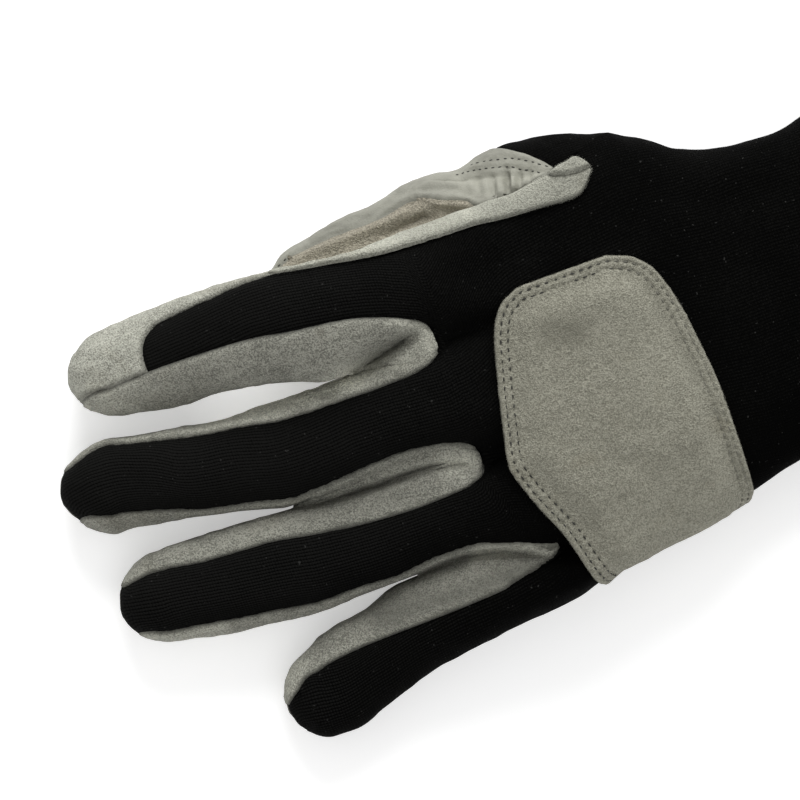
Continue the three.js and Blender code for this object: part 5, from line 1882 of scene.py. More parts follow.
@dataclass(frozen=True)
class Thread(Finish):
    """Twisted sewing thread, dusted over beyond a place along the glove."""

    dusty_from: float = 1e3
    dust: Colour = (0.2, 0.195, 0.16)

    @cache
    def material(self) -> bpy.types.Material:
        """Returns the material, which is made only once."""
        canvas = Canvas(self.name, {"Specular IOR Level": 0.25, "Sheen Weight": 0.1})
        twist = canvas.noise(0.3, 2.0, 0.6)
        broad = canvas.noise(6.0, 2.0, 0.5)
        tone = canvas.tone((twist, 1.2), (broad, 0.8))
        colour = canvas.blend(tone.between(0.0, 1.0), self.dark, self.light)
        dusty = canvas.along_glove().between(self.dusty_from, self.dusty_from + 14) * 0.75
        colour = canvas.blend(dusty, colour, self.dust)
        return canvas.finish(colour, twist, 0.0001, twist * 0.2 + 0.65, 0.7)


SUEDE = Suede("grey_suede", (0.211, 0.211, 0.178), (0.513, 0.513, 0.442), speckle=2.6, mottle=0.8)
# A darker copy of the grey suede for the walls between the fingers: painted shade.
SHADED_WALL_SUEDE = Suede("walls_suede", (0.147, 0.147, 0.124), (0.388, 0.386, 0.33), 0.45, speckle=2.8, mottle=0.9)
PALM_SUEDE = Suede("palm_suede", (0.15, 0.147, 0.124), (0.32, 0.31, 0.266), 0.4)
PINK_SUEDE = Suede("thumb_suede", (0.2, 0.185, 0.146), (0.38, 0.35, 0.28), 0.08, 0.5)
PATCH_SUEDE = Suede("patch_suede", (0.186, 0.181, 0.142), (0.384, 0.376, 0.307), 0.12)
STRIP_SUEDE = Suede("strip_suede", (0.2, 0.2, 0.168), (0.4, 0.4, 0.34), 0.05)
BACK_KNIT = Knit("black_knit", (0.0008, 0.0008, 0.0007), (0.0084, 0.0084, 0.0078))
CUFF_KNIT = Knit("cuff_knit", (0.0006, 0.0006, 0.0005), (0.0042, 0.0042, 0.0039), wale=1.05, course=0.9)
BINDING_TAPE = Knit("binding_tape", (0.003, 0.003, 0.003), (0.012, 0.012, 0.011), 0.6, 0.6)
GREY_LEATHER = Leather("grey_leather", (0.148, 0.147, 0.121), (0.255, 0.254, 0.215))
DARK_THREAD = Thread("dark_thread", (0.012, 0.012, 0.01), (0.05, 0.05, 0.044))
WORN_THREAD = Thread("worn_thread", (0.012, 0.012, 0.01), (0.05, 0.05, 0.044), 148.0)
@dataclass(frozen=True)
class Path:
    """A line on the glove: points, the directions away from the surface and away from the piece."""

    points: Array
    normals: Array
    outward: Array
    closed: bool = False


def path_object(name: str, paths: list[Path]) -> bpy.types.Object:
    """Makes a mesh of edges that carries the paths' directions.

    Args:
        name: The object's name.
        paths: The paths, in millimetres.

    Returns:
        The object, linked to the scene.
    """
    edges, start = [], 0
    for path in paths:
        end = start + len(path.points)
        edges += [(k, k + 1) for k in range(start, end - 1)]
        if path.closed:
            edges.append((end - 1, start))
        start = end
    mesh = bpy.data.meshes.new(name)
    mesh.from_pydata(to_metres(np.concatenate([path.points for path in paths])).tolist(), edges, [])
    for key, values in (("away", [path.normals for path in paths]), ("outward", [path.outward for path in paths])):
        layer = mesh.attributes.new(key, "FLOAT_VECTOR", "POINT")
        layer.data.foreach_set("vector", np.concatenate(values).astype(np.float32).reshape(-1))
    return linked(name, mesh)


class PathTree(Nodes):
    """A Geometry Nodes tree that sets a small shape at even steps along paths."""

    def __init__(self, name: str, inputs: dict[str, float | int]) -> None:
        """Makes the tree with its named inputs and its paths as curves.

        Args:
            name: The tree's name.
            inputs: The usual value of each input, in metres where it is a size.
        """
        self.tree = bpy.data.node_groups.new(name, "GeometryNodeTree")
        sockets = self.tree.interface
        sockets.new_socket("Paths", in_out="INPUT", socket_type="NodeSocketGeometry")
        sockets.new_socket("Shapes", in_out="OUTPUT", socket_type="NodeSocketGeometry")
        self.inputs = {}
        for key, value in inputs.items():
            kind = "NodeSocketInt" if isinstance(value, int) else "NodeSocketFloat"
            socket = sockets.new_socket(key, in_out="INPUT", socket_type=kind)
            socket.default_value = value
            self.inputs[key] = socket.identifier
        self.given = self.tree.nodes.new("NodeGroupInput").outputs
        self.curve = self.node("GeometryNodeMeshToCurve", None, {"Mesh": self.given["Paths"]}).outputs[0]

    def steps(self, length: str) -> bpy.types.NodeSocket:
        """Returns points along the paths at even steps, as long as the input with a name says."""
        inputs = {"Curve": self.curve, "Length": self.given[length]}
        return self.node("GeometryNodeResampleCurve", {"mode": "LENGTH"}, inputs).outputs[0]

    def vector(self, name: str) -> bpy.types.NodeSocket:
        """Returns a vector stored at the paths' points."""
        node = self.node("GeometryNodeInputNamedAttribute", {"data_type": "FLOAT_VECTOR"}, {"Name": name})
        return node.outputs["Attribute"]

    def scaled(self, vector: bpy.types.NodeSocket, scale: bpy.types.NodeSocket) -> bpy.types.NodeSocket:
        """Returns a vector times a number."""
        return self.node("ShaderNodeVectorMath", {"operation": "SCALE"}, {0: vector, "Scale": scale}).outputs[0]

    def times(self, first: bpy.types.NodeSocket, second: bpy.types.NodeSocket | float) -> bpy.types.NodeSocket:
        """Returns the product of two numbers."""
        return self.node("ShaderNodeMath", {"operation": "MULTIPLY"}, {0: first, 1: second}).outputs[0]

    def size(self, *parts: bpy.types.NodeSocket) -> bpy.types.NodeSocket:
        """Returns a vector with three parts."""
        return self.node("ShaderNodeCombineXYZ", None, dict(enumerate(parts))).outputs[0]

    def random(self, low: float | tuple, high: float | tuple) -> bpy.types.NodeSocket:
        """Returns random numbers, or random vectors, drawn with the tree's seed.

        Args:
            low: The least value.
            high: The greatest value.

        Returns:
            The socket with a value for each point.
        """
        kind, socket_type = ("FLOAT_VECTOR", "VECTOR") if isinstance(low, tuple) else ("FLOAT", "VALUE")
        node = self.node("FunctionNodeRandomValue", {"data_type": kind}, {"Seed": self.given["Seed"]})
        ends = [socket for socket in node.inputs if socket.name in ("Min", "Max") and socket.type == socket_type]
        for socket, value in zip(ends, (low, high)):
            socket.default_value = value
        return next(socket for socket in node.outputs if socket.type == socket_type)

    def close(self, inputs: dict[str, bpy.types.NodeSocket], material: bpy.types.Material) -> None:
        """Sets the shape at its places and ends the tree with real geometry and its finish.

        Args:
            inputs: The points, the shape, its rotation and its scale, by the sockets' names.
            material: The finish.
        """
        placed = self.node("GeometryNodeInstanceOnPoints", None, inputs)
        real = self.node("GeometryNodeRealizeInstances", None, {"Geometry": placed.outputs[0]})
        dressed = self.node("GeometryNodeSetMaterial", None, {"Geometry": real.outputs[0], "Material": material})
        output = self.tree.nodes.new("NodeGroupOutput")
        self.tree.links.new(dressed.outputs[0], output.inputs["Shapes"])


@dataclass
class Growth:
    """Small shapes that a tree sets at even steps along paths."""

    name: str
    finish: Finish
    slot: str

    def tree(self) -> PathTree:
        """Returns the tree."""
        raise NotImplementedError

    def inputs(self) -> dict[str, float | int]:
        """Returns the values of the tree's named inputs, the sizes in metres."""
        values = {key.capitalize(): getattr(self, key) * MM for key in self.SIZES}
        return values | {key.capitalize(): getattr(self, key) for key in self.NUMBERS}

    def build(self, paths: list[Path]) -> bpy.types.Object:
        """Runs the tree on paths and keeps the result as a plain mesh.

        Args:
            paths: Where the shapes stand.

        Returns:
            The new object.
        """
        source = path_object(self.name + "_path", paths)
        tree = self.tree()
        modifier = source.modifiers.new("grow", "NODES")
        modifier.node_group = tree.tree
        for key, value in self.inputs().items():
            modifier[tree.inputs[key]] = value
        shaped = source.evaluated_get(bpy.context.evaluated_depsgraph_get())
        mesh = bpy.data.meshes.new_from_object(shaped)
        source.modifiers.remove(modifier)
        bpy.data.objects.remove(source)
        mesh.name = self.name
        obj = linked(self.name, mesh)
        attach(obj, "root")
        return obj


@dataclass
class Stitching(Growth):
    """Rows of thread, each stitch a small rounded bar that dips into the cloth at its ends."""

    SIZES: ClassVar = ("pitch", "length", "width", "height", "sink")
    NUMBERS: ClassVar = ("seed",)
    TWIST: ClassVar = 0.16

    pitch: float = 2.2
    length: float = 1.3
    width: float = 0.5
    height: float = 0.4
    sink: float = 0.05
    seed: int = 3

    def tree(self) -> PathTree:
        """Returns the tree that sets the stitches."""
        tree = PathTree("stitching", self.inputs())
        given, steps, away = tree.given, tree.steps("Pitch"), tree.vector("away")
        shift = tree.scaled(away, tree.times(given["Sink"], -1.0))
        sunk = tree.node("GeometryNodeSetPosition", None, {"Geometry": steps, "Offset": shift})
        bead = tree.node("GeometryNodeMeshUVSphere", None, {"Segments": 8, "Rings": 6, "Radius": 0.5})
        scale = tree.size(given["Length"], given["Width"], given["Height"])
        bar = tree.node("GeometryNodeTransform", None, {"Geometry": bead.outputs[0], "Scale": scale})
        smooth = tree.node("GeometryNodeSetShadeSmooth", None, {"Geometry": bar.outputs[0]})
        tangent = tree.node("GeometryNodeInputTangent")
        facing = tree.node("FunctionNodeAxesToRotation", {"primary_axis": "Z", "secondary_axis": "X"},
                           {0: away, 1: tangent.outputs[0]})
        angle = tree.random(-self.TWIST, self.TWIST)
        twist = tree.node("FunctionNodeAxisAngleToRotation", None, {"Axis": (0, 0, 1), "Angle": angle})
        turned = tree.node("FunctionNodeRotateRotation", {"rotation_space": "LOCAL"},
                           {0: facing.outputs[0], 1: twist.outputs[0]})
        tree.close({"Points": sunk.outputs[0], "Instance": smooth.outputs[0], "Rotation": turned.outputs[0]},
                   self.finish.material())
        return tree


@dataclass
class Fibres(Growth):
    """Loose fibres that stand out from a raw-cut edge."""

    SIZES: ClassVar = ("spacing", "length", "width")
    NUMBERS: ClassVar = ("spread", "seed")
    LENGTHS: ClassVar = (0.4, 1.2)      # the shortest and the longest, as shares of the length

    spacing: float = 0.11
    length: float = 0.75
    width: float = 0.1
    spread: float = 0.8
    seed: int = 5

    def tree(self) -> PathTree:
        """Returns the tree that sets the fibres."""
        tree = PathTree("fibres", self.inputs())
        given, steps = tree.given, tree.steps("Spacing")
        fibre = tree.node("GeometryNodeMeshCone", {"fill_type": "NONE"}, {
            "Vertices": 3, "Side Segments": 1, "Radius Top": 0.0, "Radius Bottom": 0.5, "Depth": 1.0})
        wide = tree.scaled(tree.random((-1, -1, -1), (1, 1, 1)), given["Spread"])
        way = tree.node("ShaderNodeVectorMath", {"operation": "ADD"}, {0: tree.vector("outward"), 1: wide})
        facing = tree.node("FunctionNodeAlignRotationToVector", {"axis": "Z"}, {"Vector": way.outputs[0]})
        long = tree.times(given["Length"], tree.random(*self.LENGTHS))
        tree.close({"Points": steps, "Instance": fibre.outputs[0], "Rotation": facing.outputs[0],
                    "Scale": tree.size(given["Width"], given["Width"], long)}, self.finish.material())
        return tree


class ClothTop:
    """Finds places on the finished form from above."""

    STEP = 0.4
    ABOVE = 80.0

    def __init__(self, cloth: Cloth) -> None:
        """Prepares the search in a form."""
        self.tree = BVHTree.FromPolygons([Vector(point) for point in cloth.points], cloth.faces)

    def path(self, line: tuple[tuple[float, float], ...]) -> Path:
        """Lays a line on the cloth.

        Args:
            line: Points seen from above.

        Returns:
            The path.
        """
        flat = np.array(line, float)
        lengths = lengths_along(flat)
        places = np.linspace(0, lengths[-1], max(4, math.ceil(lengths[-1] / self.STEP)))
        hits = [self.tree.ray_cast(Vector((x, y, self.ABOVE)), Vector((0, 0, -1)))
                for x, y in points_along(flat, lengths, places)]
        normals = np.array([hit[1] for hit in hits])
        return Path(np.array([hit[0] for hit in hits]), normals, normals)


@dataclass
class Panel:
    """One cut piece of the glove's shell, with its thickness."""

    piece: Piece
    finish: Finish
    slot: str
    wall: float = WALL

    def build(self, cloth: Cloth) -> bpy.types.Object:
        """Cuts the piece out of the welded form, closes it and dresses it.

        Args:
            cloth: The whole form.

        Returns:
            The finished object.
        """
        chosen = np.nonzero(cloth.labels == list(Piece).index(self.piece))[0]
        used = np.unique(np.concatenate([cloth.faces[f] for f in chosen]))
        count = len(used)
        local = np.full(len(cloth.points), -1)
        local[used] = np.arange(count)
        faces = [tuple(local[list(cloth.faces[f])]) for f in chosen]
        uvs = [cloth.uvs[f] for f in chosen]
        edges = {(face[k - 1], face[k]): (uv[k - 1], uv[k])
                 for face, uv in zip(faces, uvs) for k in (*range(1, len(face)), 0)}
        inner = [tuple(i + count for i in reversed(face)) for face in faces]
        inner_uvs = [list(reversed(uv)) for uv in uvs]
        rims, rim_uvs = [], []
        for (a, b), (uv_a, uv_b) in edges.items():
            if (b, a) not in edges:
                rims.append((b, a, a + count, b + count))
                rim_uvs.append([uv_b, uv_a, uv_a, uv_b])
        points = cloth.points[used]
        points = np.concatenate([points, points - cloth.outward[used] * self.wall])
        # One point attribute carries the spots of painted light and painted shade.
        obj = mesh_object(self.piece.value + "_cloth", points, faces + inner + rims, uvs + inner_uvs + rim_uvs,
                          {"seam": np.tile(cloth.seam[used], 2), "painted_shading": painted_shading_at(points)}, len(rims))
        obj.data.materials.append(self.finish.material())
        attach(obj, "root")
        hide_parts(self.piece.value)
        return obj


def length_at_y(line: Array, lengths: Array, y: float) -> float:
    """Returns the length along a line over the back at which it has come down to a Y.

    Args:
        line: The line's points, from the thumb side.
        lengths: The length up to each of them.
        y: The Y.

    Returns:
        The length.
    """
    below = np.nonzero((line[1:, 1] <= y) & (line[:-1, 1] > y))[0]
    if not len(below):
        return float(lengths[-1])
    i = below[0]
    return float(mix(lengths[i], lengths[i + 1], (line[i, 1] - y) / (line[i, 1] - line[i + 1, 1])))


def hull_over(line: Array) -> Array:
    """Returns the points of a line that a stiff sheet laid over it would touch.

    Args:
        line: The line's points.

    Returns:
        The points that are kept.
    """
    kept: list[Array] = []
    for point in line:
        while len(kept) > 1:
            a, b = kept[-2:]
            if (b[2] - a[2]) * (a[1] - point[1]) >= (point[2] - a[2]) * (a[1] - b[1]):
                break
            kept.pop()
        kept.append(point)
    return np.array(kept)


class LaidSurface:
    """A table of points over the glove, by station and by share of the way across, for what lies on it."""

    STEP = 0.5
    ACROSS = 240

    def __init__(self, stations: tuple[float, float], line_at: Callable[[float], Array], smooth: int = 0) -> None:
        """Reads the lines.

        Args:
            stations: First and last station.
            line_at: Gives the line across, cut to the piece's width, at a station.
            smooth: Rounds of smoothing.
        """
        count = math.ceil((stations[1] - stations[0]) / self.STEP) + 1
        self.x = np.linspace(*stations, count)
        points, self.width = np.empty((count, self.ACROSS + 1, 3)), np.empty(count)
        for row, x in enumerate(self.x):
            line = line_at(float(x))
            lengths = lengths_along(line)
            self.width[row] = lengths[-1]
            points[row] = points_along(line, lengths, np.linspace(0, 1, self.ACROSS + 1) * lengths[-1])
        for _ in range(smooth):
            points[1:-1] = (points[:-2] + 2 * points[1:-1] + points[2:]) / 4
            points[:, 1:-1] = (points[:, :-2] + 2 * points[:, 1:-1] + points[:, 2:]) / 4
        normals = unit(np.cross(np.gradient(points, axis=1), np.gradient(points, axis=0)))
        self.tables = (points, normals * (-1 if normals[:, :, 2].mean() < 0 else 1))

    def at(self, x: Array, share: Array) -> tuple[Array, Array]:
        """Returns points and normals.

        Args:
            x: Stations.
            share: Shares of the way across.

        Returns:
            Points and unit normals.
        """
        row = np.clip(np.interp(x, self.x, np.arange(len(self.x))), 0, len(self.x) - 1.001)
        column = np.clip(share, 0, 1) * (self.ACROSS - 0.001)
        i, j = row.astype(int), column.astype(int)
        a, b = (row - i)[..., None], (column - j)[..., None]
        points, normals = (mix(mix(table[i, j], table[i, j + 1], b), mix(table[i + 1, j], table[i + 1, j + 1], b), a)
                           for table in self.tables)
        return points, unit(normals)


def outline_distance(points: Array, outline: Array) -> Array:
    """Returns the distance of flat points, in rows or in a grid, from a closed outline.

    Args:
        points: Flat points.
        outline: The outline's points.

    Returns:
        Distances.
    """
    nearest = np.full(points.shape[:-1], 1e9)
    for a, b in zip(outline, np.roll(outline, -1, axis=0)):
        along = b - a
        share = clamp(((points - a) @ along) / max(float(along @ along), 1e-12))
        nearest = np.minimum(nearest, np.linalg.norm(points - a - share[..., None] * along, axis=-1))
    return nearest


def border(grid: Array) -> Array:
    """Returns what stands round the edge of a grid, once round."""
    return np.concatenate([grid[0, :-1], grid[:-1, -1], grid[-1, :0:-1], grid[:0:-1, 0]])


def steps_round(line: Array) -> Array:
    """Returns the way from the point before to the point after, at each point of a closed line."""
    return np.roll(line, -1, axis=0) - np.roll(line, 1, axis=0)


INSET_STEP = 0.5        # distance between the points that are moved inwards
INSET_SLACK = 0.12      # how much nearer to the outline they may end up


def inset(outline: Array, distance: float, step: float) -> Array:
    """Returns a closed line at a distance inside an outline, with points at even steps.

    Args:
        outline: Flat points round a shape.
        distance: How far inside.
        step: Distance between the new points.

    Returns:
        Flat points.
    """
    closed = np.vstack([outline, outline[:1]])
    lengths = lengths_along(closed)
    even = points_along(closed, lengths, np.linspace(0, lengths[-1], int(lengths[-1] / INSET_STEP), endpoint=False))
    side = unit(steps_round(even)[:, ::-1] * (-1, 1))
    if np.sum(side * (even.mean(axis=0) - even)) < 0:
        side = -side
    moved = even + side * distance
    moved = moved[outline_distance(moved, even) > distance - INSET_SLACK]
    closed = np.vstack([moved, moved[:1]])
    lengths = lengths_along(closed)
    count = max(8, round(lengths[-1] / step))
    return points_along(closed, lengths, np.linspace(0, lengths[-1], count, endpoint=False))


@dataclass
class LaidPiece:
    """A piece of suede sewn on top of the glove: a grid over a surface, with a cut edge all round."""

    GROOVE: ClassVar = (0.22, 0.5)      # depth and width of the groove along a stitch row
    PIT: ClassVar = (0.42, 0.42)        # of the pit at each stitch's end
    THINNEST: ClassVar = 0.35
    RAGGED: ClassVar = 0.9              # how far inside the cut edge wavers
    ROUND_EDGE: ClassVar = 0.55         # how far in the edge is rounded, and how tall it is at the cut, as shares
    EDGE_SHIFT: ClassVar = 1.3          # keeps the painted seam shade off the cut edge, so that it is as pale as the rest
    RIM_DEPTH: ClassVar = 0.25          # where the fibres grow, below the visible side

    name: str
    slot: str
    finish: Suede
    gap: float
    leather: float
    quads_along: int
    quads_across: int
    waver: float = 0.25
    pit_pitch: float = 2.4
    stitch_rows: tuple[float, ...] = ()
    seed: int = 1

    def make_surface(self, form: GloveForm) -> LaidSurface:
        """Returns the surface that the piece lies on."""
        raise NotImplementedError

    def edges(self, share: Array, depth: Array) -> tuple[Array, Array]:
        """Returns station and share across at places of the piece's grid."""
        raise NotImplementedError

    def thickness(self, inside: Array, points: Array) -> Array:
        """Returns the thickness at points that are a distance inside the edge."""
        return self.leather + 0 * inside

    def flat(self, x: Array, share: Array) -> Array:
        """Returns flat places, in millimetres along and across."""
        return np.stack([x, share * float(self.surface.width.mean())], axis=-1)

    def build(self, form: GloveForm) -> bpy.types.Object:
        """Builds the piece as a closed solid with a rough cut edge and sunk stitch rows, and dresses it.

        Args:
            form: The glove's form.

        Returns:
            The object.
        """
        self.surface = self.make_surface(form)
        depth, share = np.meshgrid(np.linspace(0, 1, self.quads_along + 1), np.linspace(0, 1, self.quads_across + 1),
                                   indexing="ij")
        x, across = self.edges(share, depth)
        flat = self.flat(x, across)
        self.outline = border(flat)
        inside = outline_distance(flat, self.outline)
        points, normals = self.surface.at(x, across)
        listed = points.reshape(-1, 3)
        bend = waves(listed, (0.16, 9, self.seed), (0.07, 3, self.seed + 1))
        self.paths = []
        sunk = np.zeros(x.shape)
        for distance in self.stitch_rows:
            path = inset(self.outline, distance, self.pit_pitch / 2)
            path = path[:len(path) // 2 * 2]
            self.paths.append(path)
            sunk += self.GROOVE[0] * bell(outline_distance(flat, path), self.GROOVE[1])
            places, pits = (np.pad(part, ((0, 0), (0, 1))) for part in (flat.reshape(-1, 2), path[::2]))
            sunk += self.PIT[0] * bell(nearest_distance(places, pits).reshape(x.shape), self.PIT[1])
        rounding = np.sqrt(1 - (1 - clamp(inside / (self.ROUND_EDGE * self.leather))) ** 2)
        tall = self.thickness(inside, points) * (self.ROUND_EDGE + (1 - self.ROUND_EDGE) * rounding)
        lower = points + normals * self.gap
        upper = lower + normals * np.maximum(tall + bend.reshape(x.shape) - sunk, self.THINNEST)[..., None]
        self.rim, self.rim_normals = border(upper), border(normals)
        waver = self.waver * WaveField(2.2, self.seed + 4)(listed).reshape(x.shape) * (inside < self.RAGGED)
        outward = points - border(points).mean(axis=0)
        outward -= normals * np.sum(outward * normals, axis=-1, keepdims=True)
        shift = unit(outward) * waver[..., None]
        obj = self.closed_grid(upper + shift, lower + shift, flat, inside)
        obj.data.materials.append(self.finish.material())
        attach(obj, "root")
        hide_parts(self.name)
        return obj

    def closed_grid(self, upper: Array, lower: Array, flat: Array, inside: Array) -> bpy.types.Object:
        """Makes the object from its upper and lower grids.

        Args:
            upper: Points of the visible side.
            lower: Points of the side that lies on the glove.
            flat: Flat places, which become the pattern.
            inside: Distances from the edge.

        Returns:
            The object.
        """
        count = inside.size
        ids = np.arange(count).reshape(inside.shape)
        quads = np.stack([ids[:-1, :-1], ids[1:, :-1], ids[1:, 1:], ids[:-1, 1:]], axis=-1).reshape(-1, 4)
        ring = border(ids)
        following = np.roll(ring, -1)
        rims = np.stack([ring, following, following + count, ring + count], axis=1)
        faces = [*map(tuple, quads), *map(tuple, quads[:, ::-1] + count), *map(tuple, rims)]
        uv = np.tile(flat[..., ::-1].reshape(-1, 2), (2, 1))
        uvs = [[tuple(uv[i]) for i in face] for face in faces]
        points = np.concatenate([upper.reshape(-1, 3), lower.reshape(-1, 3)])
        edge = np.tile(inside.reshape(-1) + self.EDGE_SHIFT, 2)
        # One point attribute carries the spots of painted light and painted shade.
        obj = mesh_object(self.name + "_cloth", points, faces, uvs,
                          {"seam": edge, "edge": edge - self.EDGE_SHIFT, "painted_shading": painted_shading_at(points)}, len(rims))
        work = bmesh.new()
        work.from_mesh(obj.data)
        bmesh.ops.recalc_face_normals(work, faces=work.faces)
        work.to_mesh(obj.data)
        work.free()
        return obj

    def stitch_paths(self) -> list[Path]:
        """Returns the stitch rows on the piece's visible side."""
        result = []
        for flat in self.paths:
            points, normals = self.surface.at(flat[:, 0], flat[:, 1] / float(self.surface.width.mean()))
            tall = self.thickness(outline_distance(flat, self.outline), points) - self.GROOVE[0]
            result.append(Path(points + normals * (self.gap + tall)[:, None], normals, normals, True))
        return result

    def rim_path(self) -> Path:
        """Returns the upper edge of the cut, with the direction away from the piece."""
        outward = unit(np.cross(steps_round(self.rim), self.rim_normals))
        if np.sum(outward * (self.rim - self.rim.mean(axis=0))) < 0:
            outward = -outward
        return Path(self.rim - self.rim_normals * self.RIM_DEPTH, self.rim_normals, outward, True)

    def declare_sheet(self, obj: bpy.types.Object, rests_on: list[str]) -> None:
        """Args:
            obj: The piece; not used.
            rests_on: Names of the pieces that it lies on; not used.
        """


@dataclass
class KnucklePatch(LaidPiece):
    """The padded suede patch over the knuckles, with two rows of stitching inside its raw edge."""

    STATIONS: ClassVar = (109.0, 170.0)
    RIDGE: ClassVar = (0.16, 7.0, 2.0)      # height, place inside the edge and width

    thumb_y: float = 24.5
    wrap: float = 5.0
    pad: float = 2.05
    pad_start: float = 4.0
    pad_rise: float = 6.5

    def make_surface(self, form: GloveForm) -> LaidSurface:
        """Returns a surface that bridges the hollows of the back.

        Args:
            form: The glove's form.

        Returns:
            The surface, from the thumb end of the patch round to the little finger's side.
        """
        top = np.linspace(0, TOP_END, 96)
        wall = np.linspace(TOP_END, LOW_START, 12)[1:]

        def line_at(x: float) -> Array:
            """Returns the line across the back under the patch.

            Args:
                x: The station.

            Returns:
                Its points.
            """
            over = hull_over(form.hand_point(np.full(len(top), x), top))
            line = np.concatenate([over, form.hand_point(np.full(len(wall), x), wall)])
            lengths = lengths_along(line)
            start = length_at_y(line, lengths, self.thumb_y)
            return points_along(line, lengths, np.linspace(start, lengths_along(over)[-1] + self.wrap, 240))

        return LaidSurface(self.STATIONS, line_at, 6)

    def edges(self, share: Array, depth: Array) -> tuple[Array, Array]:
        """Returns station and share at shares of the length across the hand and of the width towards the wrist."""
        table = Table(PATCH_COLUMNS, PATCH_EDGES).at(share)
        return mix(table["front"], table["back"], depth), share

    def thickness(self, inside: Array, points: Array) -> Array:
        """Returns the thickness: a flat border, a raised ridge and a softer middle.

        Args:
            inside: Distances from the edge.
            points: The places.

        Returns:
            Thicknesses.
        """
        height, place, width = self.RIDGE
        raised = ease((inside - self.pad_start) / self.pad_rise)
        return self.leather + self.pad * raised + height * bell(inside - place, width)


@dataclass
class SideStrip(LaidPiece):
    """The raw-cut strip of suede that runs from the index finger to the thumb's root, folded at its end."""

    FOLD_START: ClassVar = 143.0
    FOLD: ClassVar = (1.3, 0.5, 4.0)        # height, width of its step and the length over which it rises
    FOLD_CREASE: ClassVar = (0.6, 0.28, 3.0)    # depth, width and the length over which it deepens
    BULK: ClassVar = 0.8                    # share of the thickness that stands out at its outer edge
    THIN: ClassVar = (0.6, 70.0, 25.0)      # thickness at the start as a share, where it grows, over what length
    LEAST_WIDTH: ClassVar = 0.3
    OVER_EDGE: ClassVar = 1.5               # how far it laps over the edge where the edge is hidden

    def make_surface(self, form: GloveForm) -> LaidSurface:
        """Returns the surface from the wall of the index finger, or of the hand, over the knit.

        Args:
            form: The glove's form.

        Returns:
            The surface under the strip.
        """
        table = Table(STRIP_COLUMNS, STRIP_EDGES)
        wall = np.linspace(-WALL_QUADS, 0, 60)[:-1]
        top = np.linspace(0, TOP_QUADS, 60)
        reach = self.gap + self.leather * self.BULK

        def line_at(x: float) -> Array:
            """Returns the line across the strip.

            Args:
                x: The station.

            Returns:
                Its points.
            """
            stations = np.full(len(wall) + len(top), x)
            if x >= THUMB_ENDS[0]:
                line = form.hand_point(stations, np.concatenate([wall + RING, top]))
            else:
                line = form.finger_point(0, stations, np.concatenate([wall + FINGER_RING, top]))
            lifted = line[:, 1] + unit(np.gradient(line[:, 1:], axis=0))[:, 1] * reach
            row = table.at(np.array([x]))
            beyond = np.nonzero(lifted[:-1] >= float(row["outer_edge"][0]))[0]
            lengths = lengths_along(line)
            first = lengths[beyond[-1]] if len(beyond) else lengths[int(np.argmax(lifted))] - self.OVER_EDGE
            end = length_at_y(line, lengths, float(row["inner_edge"][0]))
            return points_along(line, lengths, np.linspace(first, max(end, first + self.LEAST_WIDTH), 60))

        return LaidSurface((STRIP_EDGES[0][0], STRIP_EDGES[-1][0]), line_at, 4)

    def edges(self, share: Array, depth: Array) -> tuple[Array, Array]:
        """Returns station and share across at places of the strip."""
        return mix(self.surface.x[0], self.surface.x[-1], depth), share

    def flat(self, x: Array, share: Array) -> Array:
        """Returns flat places, in millimetres along and across, its knit side being straight."""
        return np.stack([x, -(1 - share) * np.interp(x, self.surface.x, self.surface.width)], axis=-1)

    def thickness(self, inside: Array, points: Array) -> Array:
        """Returns the thickness, which is doubled where the end is folded back.

        Args:
            inside: Distances from the edge.
            points: The places.

        Returns:
            Thicknesses.
        """
        x, y = points[..., 0], points[..., 1]
        level = y - np.interp(x, *np.array(STRIP_FOLD).T)
        (height, step, rise), (depth, width, length), (least, start, growth) = self.FOLD, self.FOLD_CREASE, self.THIN
        folded = ease(level / step) * ease((x - self.FOLD_START) / rise)
        crease = bell(level, width) * ease((x - self.FOLD_START) / length)
        thin = least + (1 - least) * ease((x - start) / growth)
        return self.leather * thin + height * folded - depth * crease


@dataclass
class WristTab(LaidPiece):
    """The round-ended tab on the cuff, sewn down near its edge."""

    ROUND_SHARE: ClassVar = 0.38        # share of the rows that its round end takes
    LEAST_HALF: ClassVar = 0.03

    end: float = 208.5
    radius: float = 16.0
    length: float = 44.0
    y: float = 30.5

    def make_surface(self, form: GloveForm) -> LaidSurface:
        """Returns the surface of the cuff under the tab.

        Args:
            form: The glove's form.

        Returns:
            The surface.
        """
        columns = np.linspace(0, TOP_END, 160)

        def line_at(x: float) -> Array:
            """Returns the line across the tab.

            Args:
                x: The station.

            Returns:
                Its points.
            """
            line = form.hand_point(np.full(len(columns), x), columns)
            lengths = lengths_along(line)
            centre = length_at_y(line, lengths, self.y)
            return points_along(line, lengths, np.linspace(centre - self.radius, centre + self.radius, 60))

        return LaidSurface((self.end, self.end + self.length), line_at)

    def edges(self, share: Array, depth: Array) -> tuple[Array, Array]:
        """Returns station and share across, with a round end.

        Args:
            share: Shares of the tab's width.
            depth: Shares of its length.

        Returns:
            Stations and shares.
        """
        angle = clamp(depth / self.ROUND_SHARE) * (np.pi / 2)
        beyond = (depth - self.ROUND_SHARE) / (1 - self.ROUND_SHARE)
        in_end = depth < self.ROUND_SHARE
        x = np.where(in_end, self.end + self.radius * (1 - np.cos(angle)),
                     mix(self.end + self.radius, self.end + self.length, beyond))
        return x, 0.5 + (share - 0.5) * np.where(in_end, np.maximum(np.sin(angle), self.LEAST_HALF), 1.0)




